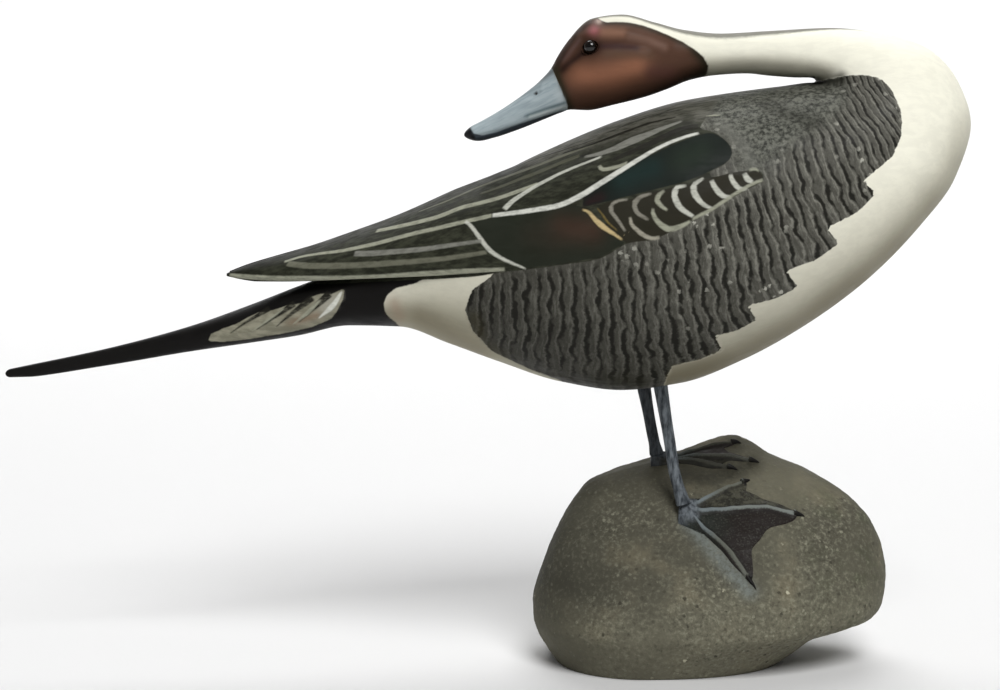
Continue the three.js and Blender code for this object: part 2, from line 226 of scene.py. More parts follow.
class Workbench:
    """The few modelling moves that the pieces share."""

    @staticmethod
    def clear() -> None:
        """Deselect everything, in object mode."""
        if bpy.context.object and bpy.context.object.mode != "OBJECT":
            bpy.ops.object.mode_set(mode="OBJECT")
        bpy.ops.object.select_all(action="DESELECT")

    @classmethod
    def take(cls, piece: Piece) -> Piece:
        """Select one piece alone and make it active.

        Args:
            piece: the piece to work on.

        Returns:
            The same piece.
        """
        cls.clear()
        piece.select_set(True)
        bpy.context.view_layer.objects.active = piece
        return piece

    @classmethod
    def wrap(cls, name: str, rows: np.ndarray) -> Piece:
        """Wrap a sheet of stock round a row of closed sections and close both of its ends.

        The sheet is a grid primitive; its vertices are moved to the sections' points, its two long
        edges are welded, and the open ends are filled and poked.

        Args:
            name: the piece's name.
            rows: the sections' points in millimetres, as sections by points by x, y, z.

        Returns:
            The closed skin, facing outwards.
        """
        sections, across = rows.shape[:2]
        cls.clear()
        bpy.ops.mesh.primitive_grid_add(x_subdivisions=across, y_subdivisions=sections - 1, size=METRE)
        piece = bpy.context.object
        piece.name = piece.data.name = name
        sheet = np.concatenate([rows, rows[:, :1]], axis=1) * METRE
        piece.data.vertices.foreach_set("co", sheet.reshape(-1).astype(np.float32))
        piece.data.update()
        bpy.ops.object.mode_set(mode="EDIT")
        bpy.ops.mesh.select_all(action="SELECT")
        bpy.ops.mesh.remove_doubles(threshold=1e-7)
        bpy.ops.mesh.select_mode(type="FACE")
        bpy.ops.mesh.select_all(action="SELECT")
        bpy.ops.mesh.fill_holes(sides=0)
        bpy.ops.mesh.select_all(action="DESELECT")
        bpy.ops.mesh.select_face_by_sides(number=4, type="GREATER")
        bpy.ops.mesh.poke()
        bpy.ops.mesh.select_all(action="SELECT")
        bpy.ops.mesh.normals_make_consistent(inside=False)
        bpy.ops.object.mode_set(mode="OBJECT")
        return piece

    @classmethod
    def combine(cls, piece: Piece, other: Piece, how: Joining) -> None:
        """Join another solid to a piece, or cut it away, and throw the other one out.

        Args:
            piece: the piece that stays.
            other: the solid that is used up.
            how: whether it is joined on or cut away.
        """
        cls.take(piece)
        join = piece.modifiers.new("join", "BOOLEAN")
        join.operation = how.value
        join.solver = "EXACT"
        join.object = other
        bpy.ops.object.modifier_apply(modifier=join.name)
        bpy.data.objects.remove(other)

    @classmethod
    def smooth(cls, piece: Piece, sharpest_deg: float) -> None:
        """Shade a piece smooth but for its sharp edges.

        Args:
            piece: the piece.
            sharpest_deg: edges that turn by more than this stay sharp.
        """
        cls.take(piece)
        bpy.ops.object.shade_smooth_by_angle(angle=math.radians(sharpest_deg))

    @classmethod
    def settle(cls, piece: Piece) -> Piece:
        """Put the piece's place into its mesh, so that its object stands at the origin.

        Args:
            piece: the piece.

        Returns:
            The same piece.
        """
        cls.take(piece)
        bpy.ops.object.transform_apply(location=True, rotation=True, scale=True)
        return piece

    @staticmethod
    def points_of(piece: Piece) -> np.ndarray:
        """Read a piece's vertices in millimetres.

        Args:
            piece: the piece.

        Returns:
            One vertex a row.
        """
        flat = np.empty(len(piece.data.vertices) * 3, np.float32)
        piece.data.vertices.foreach_get("co", flat)
        return flat.reshape(-1, 3).astype(float) / METRE

    @staticmethod
    def normals_of(piece: Piece) -> np.ndarray:
        """Read the directions that a piece's vertices face.

        Args:
            piece: the piece.

        Returns:
            One direction a row.
        """
        flat = np.empty(len(piece.data.vertices) * 3, np.float32)
        piece.data.vertex_normals.foreach_get("vector", flat)
        return flat.reshape(-1, 3).astype(float)

    @staticmethod
    def move_points(piece: Piece, points: np.ndarray) -> None:
        """Move a piece's vertices.

        Args:
            piece: the piece.
            points: their new places in millimetres.
        """
        piece.data.vertices.foreach_set("co", (points * METRE).reshape(-1).astype(np.float32))
        piece.data.update()

    @staticmethod
    def note(piece: Piece, name: str, values: np.ndarray) -> None:
        """Keep one value, or one triple, for each vertex as an attribute that paint can read.

        Args:
            piece: the piece.
            name: the attribute's name.
            values: one value or triple a vertex.
        """
        kind, slot = ("FLOAT", "value") if values.ndim == 1 else ("FLOAT_VECTOR", "vector")
        attribute = piece.data.attributes.new(name, kind, "POINT")
        attribute.data.foreach_set(slot, values.reshape(-1).astype(np.float32))

    @staticmethod
    def surface_of(piece: Piece) -> BVHTree:
        """Make a tree of a piece's faces, in metres, that rays can be cast at.

        Args:
            piece: the piece.

        Returns:
            The tree.
        """
        corners = [vertex.co for vertex in piece.data.vertices]
        return BVHTree.FromPolygons(corners, [tuple(face.vertices) for face in piece.data.polygons])


class Recipe:
    """Adds shader nodes to a tree, one mixing step at a time."""

    def __init__(self, tree: bpy.types.NodeTree) -> None:
        """Start on a tree.

        Args:
            tree: the material's or group's node tree.
        """
        self.tree = tree

    def node(self, kind: str, **settings: object) -> bpy.types.Node:
        """Add a node.

        Args:
            kind: the node's type name, without its ShaderNode start.
            settings: its properties.

        Returns:
            The node.
        """
        made = self.tree.nodes.new("ShaderNode" + kind)
        for name, value in settings.items():
            setattr(made, name, value)
        return made

    def feed(self, socket: Socket, value: object) -> None:
        """Give a socket a value, or a link from another node.

        Args:
            socket: the input.
            value: a number, a colour, or an output socket.
        """
        if isinstance(value, Socket):
            self.tree.links.new(value, socket)
        elif isinstance(value, tuple) and len(value) == 3 and socket.type == "RGBA":
            socket.default_value = (*value, 1.0)
        else:
            socket.default_value = value

    def math(self, how: str, first: object, second: object = 0.0, third: object = 0.0) -> Socket:
        """Work out one number.

        Args:
            how: the operation.
            first: its first number.
            second: its second number.
            third: its third number.

        Returns:
            The result.
        """
        made = self.node("Math", operation=how)
        for socket, value in zip(made.inputs, (first, second, third)):
            self.feed(socket, value)
        return made.outputs[0]

    def plus(self, first: object, second: object) -> Socket:
        """Add two numbers."""
        return self.math("ADD", first, second)

    def less(self, first: object, second: object) -> Socket:
        """Take the second number from the first."""
        return self.math("SUBTRACT", first, second)

    def times(self, first: object, second: object) -> Socket:
        """Multiply two numbers."""
        return self.math("MULTIPLY", first, second)

    def spread(self, value: object, by: object, start: object) -> Socket:
        """Multiply a value and add a start to it."""
        return self.math("MULTIPLY_ADD", value, by, start)

    def rise(
        self, value: object, low: object, high: object, least: object = 0.0, most: object = 1.0
    ) -> Socket:
        """Rise smoothly from one number to another as a value passes from low to high.

        Args:
            value: the value.
            low: where the rise starts.
            high: where it ends.
            least: result at low.
            most: result at high.

        Returns:
            The result.
        """
        made = self.node("MapRange", interpolation_type="SMOOTHSTEP")
        ends = {"Value": value, "From Min": low, "From Max": high, "To Min": least, "To Max": most}
        for name, given in ends.items():
            self.feed(made.inputs[name], given)
        return made.outputs["Result"]

    def mix(self, share: object, under: object, over: object, how: str = "MIX") -> Socket:
        """Lay one colour over another.

        Args:
            share: how much of the upper one covers.
            under: the lower colour.
            over: the upper colour.
            how: the way they blend.

        Returns:
            The mixed colour.
        """
        made = self.node("Mix", data_type="RGBA", blend_type=how)
        self.feed(made.inputs[0], share)
        self.feed(made.inputs[6], under)
        self.feed(made.inputs[7], over)
        return made.outputs[2]

    def amount(self, name: str) -> Socket:
        """Read one of the piece's attributes as a number."""
        made = self.node("Attribute", attribute_type="GEOMETRY", attribute_name=name)
        return made.outputs["Fac"]

    def triple(self, name: str) -> Socket:
        """Read one of the piece's attributes as three numbers."""
        made = self.node("Attribute", attribute_type="GEOMETRY", attribute_name=name)
        return made.outputs["Vector"]

    def parts(self, vector: object) -> tuple[Socket, ...]:
        """Split a vector.

        Args:
            vector: the vector.

        Returns:
            Its three numbers.
        """
        made = self.node("SeparateXYZ")
        self.feed(made.inputs[0], vector)
        return tuple(made.outputs[:3])

    def vector(self, x: object, y: object, z: object) -> Socket:
        """Join three numbers.

        Args:
            x: the first number.
            y: the second number.
            z: the third number.

        Returns:
            The vector.
        """
        made = self.node("CombineXYZ")
        for socket, value in zip(made.inputs, (x, y, z)):
            self.feed(socket, value)
        return made.outputs[0]

    def scaled(self, vector: object, factor: object) -> Socket:
        """Make a vector longer or shorter.

        Args:
            vector: the vector.
            factor: how many times as long it gets.

        Returns:
            The new vector.
        """
        made = self.node("VectorMath", operation="SCALE")
        self.feed(made.inputs[0], vector)
        self.feed(made.inputs["Scale"], factor)
        return made.outputs[0]

    def cloud(
        self, place: object, scale: float, detail: float = 2.0, roughness: float = 0.5, warp: float = 0.0
    ) -> Socket:
        """Add cloudy noise.

        Args:
            place: the coordinates.
            scale: clouds to a unit of them.
            detail: how many finer layers.
            roughness: how strong the finer layers are.
            warp: how far the clouds are twisted.

        Returns:
            The noise, around 0.5.
        """
        made = self.node("TexNoise", noise_dimensions="3D")
        settings = {"Scale": scale, "Detail": detail, "Roughness": roughness, "Distortion": warp}
        self.feed(made.inputs["Vector"], place)
        for name, value in settings.items():
            self.feed(made.inputs[name], value)
        return made.outputs["Fac"]

    def group(self, tree: bpy.types.NodeTree, **inputs: object) -> bpy.types.Node:
        """Place a node group.

        Args:
            tree: the group.
            inputs: its inputs by name, with spaces written as underscores.

        Returns:
            The group's node.
        """
        made = self.node("Group", node_tree=tree)
        for name, value in inputs.items():
            self.feed(made.inputs[name.replace("_", " ")], value)
        return made

    def place_mm(self) -> Socket:
        """The point's place on the piece, in millimetres."""
        return self.scaled(self.node("TexCoord").outputs["Object"], 1 / METRE)

    def finish(self, surface: bpy.types.Node) -> None:
        """Make a surface the material's own."""
        output = self.node("OutputMaterial")
        self.tree.links.new(surface.outputs[0], output.inputs[0])


def nearest_on_line(line: np.ndarray, points: np.ndarray) -> tuple[np.ndarray, np.ndarray, np.ndarray]:
    """Find the nearest place of a line to each point.

    Args:
        line: the line's points, flat or in space.
        points: the points to measure from.

    Returns:
        The distances, the nearest places, and how far along the line they are, from 0 to 1.
    """
    if len(line) == 1:
        line = np.repeat(line, 2, axis=0)
    best = np.full(len(points), np.inf)
    where = np.zeros_like(points)
    along = np.zeros(len(points))
    lengths = np.linalg.norm(np.diff(line, axis=0), axis=1)
    starts = np.concatenate([[0.0], np.cumsum(lengths)])
    for start, end, done, length in zip(line, line[1:], starts, lengths):
        step = end - start
        share = np.clip((points - start) @ step / max(step @ step, 1e-12), 0.0, 1.0)
        found = start + share[:, None] * step
        distance = np.linalg.norm(points - found, axis=1)
        closer = distance < best
        best[closer] = distance[closer]
        where[closer] = found[closer]
        along[closer] = (done + share[closer] * length) / max(starts[-1], 1e-9)
    return best, where, along


def depth_inside(outline: np.ndarray, points: np.ndarray) -> np.ndarray:
    """Measure how deep flat points lie inside a closed outline.

    Args:
        outline: the outline's corners.
        points: the points.

    Returns:
        Distance to the outline, above 0 inside it and below 0 outside.
    """
    closed = np.vstack([outline, outline[:1]])
    distance = nearest_on_line(closed, points)[0]
    inside = np.zeros(len(points), bool)
    for (ax, ay), (bx, by) in zip(closed, closed[1:]):
        spans = (ay > points[:, 1]) != (by > points[:, 1])
        height = by - ay if abs(by - ay) > 1e-12 else 1e-12
        inside ^= spans & (points[:, 0] < ax + (bx - ax) * (points[:, 1] - ay) / height)
    return np.where(inside, distance, -distance)


class Side(Enum):
    """Which side of the carving a twin lies on."""

    NEAR = -1
    FAR = 1


def mirrored(points: np.ndarray) -> np.ndarray:
    """Bring points of both flanks to the near one, because both are painted alike.

    Args:
        points: places in millimetres, one a row.

    Returns:
        Their places on the near side.
    """
    return np.stack([points[:, 0], -np.abs(points[:, 1]), points[:, 2]], axis=1)


@dataclass
class BodySkin:
    """The carved body, neck, head, bill and tail as one skin of closed sections.

    A template gives top x, top z, bottom x, bottom z and half width. They run from the tail pin forward,
    up the breast, and back along the neck to the bill, so past the breast the top is the inner side of
    the bend.
    """

    templates: tuple[tuple[float, ...], ...] = (
        (-115.9, 51.5, -115.9, 50.2, 0.75),
        (-111.6, 52.4, -111.6, 50.3, 1.0),
        (-97.5, 55.4, -97.5, 52.4, 1.3),
        (-83.4, 59.2, -83.5, 54.8, 2.6),
        (-72.9, 62.9, -73.0, 56.4, 5.2),
        (-64.1, 66.3, -64.2, 57.8, 7.4),
        (-55.4, 69.4, -55.4, 59.6, 9.6),
        (-46.6, 73.4, -46.7, 59.4, 12.0),
        (-37.9, 80.1, -38.0, 56.4, 15.2),
        (-29.2, 85.8, -29.2, 53.2, 18.2),
        (-18.8, 90.9, -18.7, 49.8, 21.0),
        (-8.5, 95.1, -8.2, 48.3, 22.8),
        (1.9, 98.3, 2.3, 49.6, 23.2),
        (12.2, 100.0, 12.8, 53.6, 22.5),
        (20.0, 101.0, 23.2, 59.4, 21.2),
        (23.6, 101.5, 33.9, 67.3, 19.6),
        (25.2, 101.6, 43.0, 76.6, 17.8),
        (25.5, 101.9, 49.2, 85.1, 15.8),
        (25.3, 102.1, 51.9, 94.3, 13.8),
        (24.8, 102.3, 49.7, 101.6, 11.6),
        (23.9, 102.4, 44.0, 107.6, 9.8),
        (21.9, 102.4, 36.2, 110.0, 8.0),
        (17.4, 102.7, 27.6, 110.9, 6.5),
        (13.1, 103.1, 17.3, 110.4, 5.3),
        (7.9, 102.8, 8.7, 109.95, 4.7),
        (3.6, 102.0, 2.6, 110.55, 5.1),
        (-0.2, 100.5, -2.6, 111.85, 5.8),
        (-4.2, 99.1, -8.2, 113.2, 6.4),
        (-9.3, 97.8, -13.4, 112.5, 6.3),
        (-14.0, 96.8, -17.0, 109.3, 5.2),
        (-16.9, 96.9, -19.2, 106.2, 4.0),
        (-18.7, 96.35, -20.4, 104.0, 3.2),
        (-21.4, 95.3, -22.4, 101.8, 2.9),
        (-25.8, 93.55, -26.6, 98.5, 2.8),
        (-30.1, 92.1, -30.7, 95.9, 3.0),
        (-32.9, 91.5, -33.5, 94.4, 2.9),
        (-35.3, 91.6, -35.6, 93.4, 2.0),
    )
    end_rounding: tuple[float, float] = (0.9, 2.0)
    end_rings: int = 9
    end_least: float = 0.04
    tail_end: int = 5
    body_start: int = 8
    body_end: int = 15
    neck_start: int = 21
    head_end: int = 29
    bill_start: int = 31
    square_tail: float = 2.7
    square_body: float = 2.25
    square_neck: float = 2.05
    square_bill: float = 2.5
    spacings: tuple[tuple[int, float], ...] = ((0, 1.0), (6, 0.62), (19, 0.75), (24, 0.42))
    around: int = 160

    def places(self) -> np.ndarray:
        """Choose where sections stand, closer together where the carving is finer.

        Returns:
            The template places in rising order.
        """
        table = np.array(self.templates)
        middles = np.stack([table[:, 0] + table[:, 2], table[:, 1] + table[:, 3]], axis=1) / 2
        found = [0.0]
        lengths = np.linalg.norm(np.diff(middles, axis=0), axis=1)
        for row, length in enumerate(lengths):
            spacing = [size for first, size in self.spacings if row >= first][-1]
            count = math.ceil(length / spacing)
            found += [row + (step + 1) / count for step in range(count)]
        bunched = 1 - np.cos(np.linspace(0, np.pi / 2, self.end_rings))
        close = bunched * self.end_rounding[0] / lengths[0]
        far = bunched * self.end_rounding[1] / lengths[-1]
        return np.unique(np.concatenate([found, close, len(table) - 1 - far]).round(5))

    def end_share(self, path: np.ndarray) -> np.ndarray:
        """Work out how far each section is drawn in, so that both ends are rounded.

        Args:
            path: length along the body of each section.

        Returns:
            The share of its full size that each section keeps.
        """
        first = np.clip(path / self.end_rounding[0], 0.0, 1.0)
        last = np.clip((path[-1] - path) / self.end_rounding[1], 0.0, 1.0)
        rounded = np.sqrt(first * (2 - first)) * np.sqrt(last * (2 - last))
        return np.maximum(rounded, self.end_least)

    def squareness(self, place: np.ndarray) -> np.ndarray:
        """Work out how boxy the section is: 2 is an oval, and more is boxier.

        Args:
            place: template places.

        Returns:
            The squareness at each of them.
        """
        boxy = self.square_tail
        for wanted, start, end in (
            (self.square_body, self.tail_end, self.body_start),
            (self.square_neck, self.body_end, self.neck_start),
            (self.square_bill, self.head_end, self.bill_start),
        ):
            boxy = boxy + (wanted - boxy) * ease(start, end, place)
        return boxy

    def sections(self, place: np.ndarray) -> np.ndarray:
        """Draw the sections.

        Args:
            place: template places, one a section.

        Returns:
            Points as sections by points by x, y, z.
        """
        top_x, top_z, low_x, low_z, half_width = template_at(self.templates, place).T[:, :, None]
        angle = 2 * np.pi * (np.arange(self.around) + 0.5) / self.around
        power = 2 / self.squareness(place)[:, None]
        along = np.sign(np.cos(angle)) * np.abs(np.cos(angle)) ** power
        out = np.sign(np.sin(angle)) * np.abs(np.sin(angle)) ** power
        share = (1 - along) / 2
        x = top_x + (low_x - top_x) * share
        z = top_z + (low_z - top_z) * share
        return np.stack([x, half_width * out, z], axis=2)

    def build(self) -> tuple[Piece, np.ndarray, np.ndarray]:
        """Wrap the skin.

        Returns:
            The piece, its sections' points, and the template place of each of those points.
        """
        place = self.places()
        rows = self.sections(place)
        middles = (rows[:, 0] + rows[:, self.around // 2]) / 2
        steps = np.linalg.norm(np.diff(middles, axis=0), axis=1)
        path = np.concatenate([[0.0], np.cumsum(steps)])
        rows = middles[:, None] + (rows - middles[:, None]) * self.end_share(path)[:, None, None]
        return Workbench.wrap("pintail", rows), rows.reshape(-1, 3), np.repeat(place, self.around)

    def share_of_skin(self, points: np.ndarray) -> np.ndarray:
        """Tell how far out points lie in the upright section they stand in, 1 on the skin.

        Args:
            points: places between the tail and the breast, one a row.

        Returns:
            The share for each of them.
        """
        table = np.array(self.templates[: self.body_end])
        place = np.interp(points[:, 0], table[:, 2], np.arange(len(table)))
        _, top, _, low, wide = template_at(self.templates, place).T
        square = self.squareness(place)
        across = np.abs(points[:, 1] / wide) ** square
        tall = np.abs((points[:, 2] - (top + low) / 2) / ((top - low) / 2)) ** square
        return (across + tall) ** (1 / square)


@dataclass
class Wing:
    """One folded wing, from the tips of its long feathers to where it melts into the shoulder.

    A template gives x, the ridge's height, the lower edge's height, the edge's spread from the middle of
    the bird, and how far from that middle the inner edge lies.
    """

    side: Side
    templates: tuple[tuple[float, ...], ...] = (
        (-76.6, 68.7, 68.35, 2.6, 2.0),
        (-73.3, 70.0, 68.3, 4.4, 1.5),
        (-67.0, 71.9, 68.4, 6.7, 0.9),
        (-62.2, 73.3, 68.6, 8.4, 0.4),
        (-54.7, 75.9, 69.1, 10.8, -0.2),
        (-47.3, 78.6, 69.6, 13.2, -0.3),
        (-37.6, 82.9, 70.3, 16.2, -0.3),
        (-28.9, 86.9, 71.2, 18.9, -0.3),
        (-20.9, 89.4, 72.4, 20.6, -0.3),
        (-14.0, 91.5, 74.4, 21.4, -0.3),
    )
    roundness: float = 2.1
    edge_thick: float = 0.9
    edge_share: float = 0.4
    under_draw: float = 0.4
    under_hollow: float = 0.3
    spacing: float = 0.5
    arc_points: int = 46
    melt_from: float = -38.0
    melt_to: float = -23.0
    sink_from: float = -26.0
    sunk: float = 0.97
    core: float = 0.2

    def build(self, body: BodySkin) -> Piece:
        """Wrap the wing.

        Args:
            body: the skin that the wing's front melts into.

        Returns:
            The wing's solid.
        """
        table = np.array(self.templates)
        count = math.ceil((table[-1, 0] - table[0, 0]) / self.spacing)
        place = np.linspace(0, len(table) - 1, count)
        x, ridge, edge, spread, inner = template_at(table, place).T[:, :, None]
        angle = np.linspace(0, np.pi / 2, self.arc_points)[None, :]
        power = 2 / self.roundness
        rise = ridge - edge
        arc_out = inner + (spread - inner) * np.sin(angle) ** power
        arc_up = edge + rise * np.clip(np.cos(angle), 0, 1) ** power
        thick = np.minimum(self.edge_thick, rise * self.edge_share)
        under_share = np.linspace(1, 0, self.arc_points // 2)[None, :]
        under_out = inner + (spread - inner - thick * self.under_draw) * under_share
        under_up = edge - thick + thick * self.under_hollow * np.abs(2 * under_share - 1) ** 4
        out = np.concatenate([arc_out, under_out], axis=1) * self.side.value
        up = np.concatenate([arc_up, under_up], axis=1)
        rows = np.stack([np.broadcast_to(x, out.shape), out, up], axis=2)
        return Workbench.wrap(f"wing_{self.side.name.lower()}", self.melted(rows, body))

    def melted(self, rows: np.ndarray, body: BodySkin) -> np.ndarray:
        """Draw the wing's front down onto the body's skin and then just under it.

        Args:
            rows: the wing's sections.
            body: the skin.

        Returns:
            The sections after the move.
        """
        flat = rows.reshape(-1, 3).copy()
        share = body.share_of_skin(flat)
        melt = ease(self.melt_from, self.melt_to, flat[:, 0])
        sink = 1 - (1 - self.sunk) * ease(self.sink_from, self.templates[-1][0], flat[:, 0])
        wanted = share + (np.minimum(share, 1.0) * sink - share) * melt
        table = np.array(body.templates[: body.body_end])
        middle = np.interp(flat[:, 0], table[:, 0], (table[:, 1] + table[:, 3]) / 2)
        factor = np.where(share > self.core, wanted / np.maximum(share, self.core), 1.0)
        flat[:, 1] *= factor
        flat[:, 2] = middle + (flat[:, 2] - middle) * factor
        return flat.reshape(rows.shape)


@dataclass(frozen=True)
class Swell:
    """A soft rise or hollow that the carver left along a line, given in pixels of the view."""

    line: tuple[Pixel, ...]
    reach: float
    rise: float

    def height(self, picture: np.ndarray) -> np.ndarray:
        """Work out the rise in millimetres at points of the picture."""
        distance = nearest_on_line(np.array(self.line, float), picture)[0]
        return self.rise * np.exp(-((distance / self.reach) ** 2))


class Zone(Enum):
    """Which run of the bird's templates a painted thing may lie on."""

    BODY = (-1.0, 20.3)
    HEAD = (20.3, 40.0)


OFF_ZONE = -5.0
OFF_LINE = 6.0
OFF_NAPE = 5.0


@dataclass(frozen=True)
class Patch:
    """A painted area with one edge, as an outline in pixels of the view. Both flanks carry it."""

    name: str
    zone: Zone
    outline: tuple[Pixel, ...]
    rounded: bool = True

    def depth(self, picture: np.ndarray, place: np.ndarray) -> np.ndarray:
        """Measure how deep points lie inside the area.

        Args:
            picture: the points in the view.
            place: their template places.

        Returns:
            Millimetres inside the edge, below 0 outside.
        """
        outline = np.array(self.outline, float)
        if self.rounded:
            outline = smooth_line(np.vstack([outline, outline[:1]]), parts=4)[:-1]
        depth = depth_inside(outline, picture) * VIEW.millimetres_a_pixel
        low, high = self.zone.value
        return np.where((place >= low) & (place <= high), depth, OFF_ZONE)


class Brush(Enum):
    """Colours that the fine brush lines are drawn in."""

    BRIGHT = paint_colour(206, 207, 198)
    WHITE = paint_colour(186, 187, 176)
    PALE = paint_colour(150, 151, 134)
    OLIVE = paint_colour(104, 104, 90)
    MOSS = paint_colour(78, 78, 64)
    ASH = paint_colour(124, 124, 116)
    STONE = paint_colour(150, 146, 132)
    DRAB = paint_colour(128, 125, 114)
    GOLD = paint_colour(188, 168, 124)
    BUFF = paint_colour(106, 92, 52)
    INK = paint_colour(34, 33, 28)


@dataclass(frozen=True)
class Stroke:
    """A fine painted line, as points in pixels of the view.

    Its widths are in millimetres, at its start, its middle and its end.
    """

    brush: Brush
    widths: tuple[float, float, float]
    line: tuple[Pixel, ...]
    slack: float = 0.5

    def laid_on(self, skin: BVHTree) -> np.ndarray:
        """Lay the line on the carving.

        Args:
            skin: the bird's surface, in metres.

        Returns:
            The line's points in space, in millimetres.
        """
        eye = Vector(VIEW.eye) * METRE
        pixels = smooth_line(self.line, parts=5)
        hits = [skin.ray_cast(eye, VIEW.ray(tuple(pixel)))[0] for pixel in pixels]
        found = [tuple(hit) for hit in hits if hit is not None]
        if not found:
            raise ValueError(f"a painted line misses the carving: {self.line}")
        return np.array(found) / METRE

    def measure(self, line: np.ndarray, points: np.ndarray, facing: np.ndarray) -> np.ndarray:
        """Measure points against the line once it is laid.

        Args:
            line: the laid line in millimetres.
            points: the points to measure.
            facing: the way the surface faces there.

        Returns:
            For each point its distance to one side of the line, how far it lies past the line's ends or
            off its edge, half of the line's width there, and its plain distance.
        """
        found = np.tile([OFF_LINE, OFF_LINE, 0.0, np.inf], (len(points), 1))
        lengths = np.linalg.norm(np.diff(line, axis=0), axis=1)
        starts = np.concatenate([[0.0], np.cumsum(lengths)])
        for start, done, length, step in zip(line, starts, lengths, np.diff(line, axis=0)):
            heading = step / length
            reached = (points - start) @ heading
            kept = np.clip(reached, 0.0, length)
            offset = points - start - kept[:, None] * heading
            distance = np.linalg.norm(offset, axis=1)
            aside = np.cross(heading, facing)
            across = np.einsum("ij,ij->i", offset, aside) / np.linalg.norm(aside, axis=1)
            past = np.maximum(-(done + reached), done + reached - starts[-1])
            half = np.interp((done + kept) / starts[-1], (0.0, 0.5, 1.0), self.widths) / 2
            signed = np.where(past > 0, across, np.copysign(distance, across))
            here = np.stack([signed, np.maximum(past, distance - half - self.slack), half, distance], axis=1)
            closer = distance < found[:, 3]
            found[closer] = here[closer]
        return found


@dataclass(frozen=True)
class Glow:
    """A soft band of another colour along a line in pixels of the view, inside a patch.

    Its colour is given as the eye reads it, 0 to 255. Many bands are painted highlights and painted shade;
    the rest are the plumage's own tints.
    """

    patch: str
    line: tuple[Pixel, ...]
    reach: float
    seen_colour: Colour
    strength: float

    def share(self, picture: np.ndarray) -> np.ndarray:
        """How much of the band's colour covers each point of the picture."""
        distance = nearest_on_line(np.array(self.line, float), picture)[0]
        return self.strength * np.exp(-((distance / self.reach) ** 2))


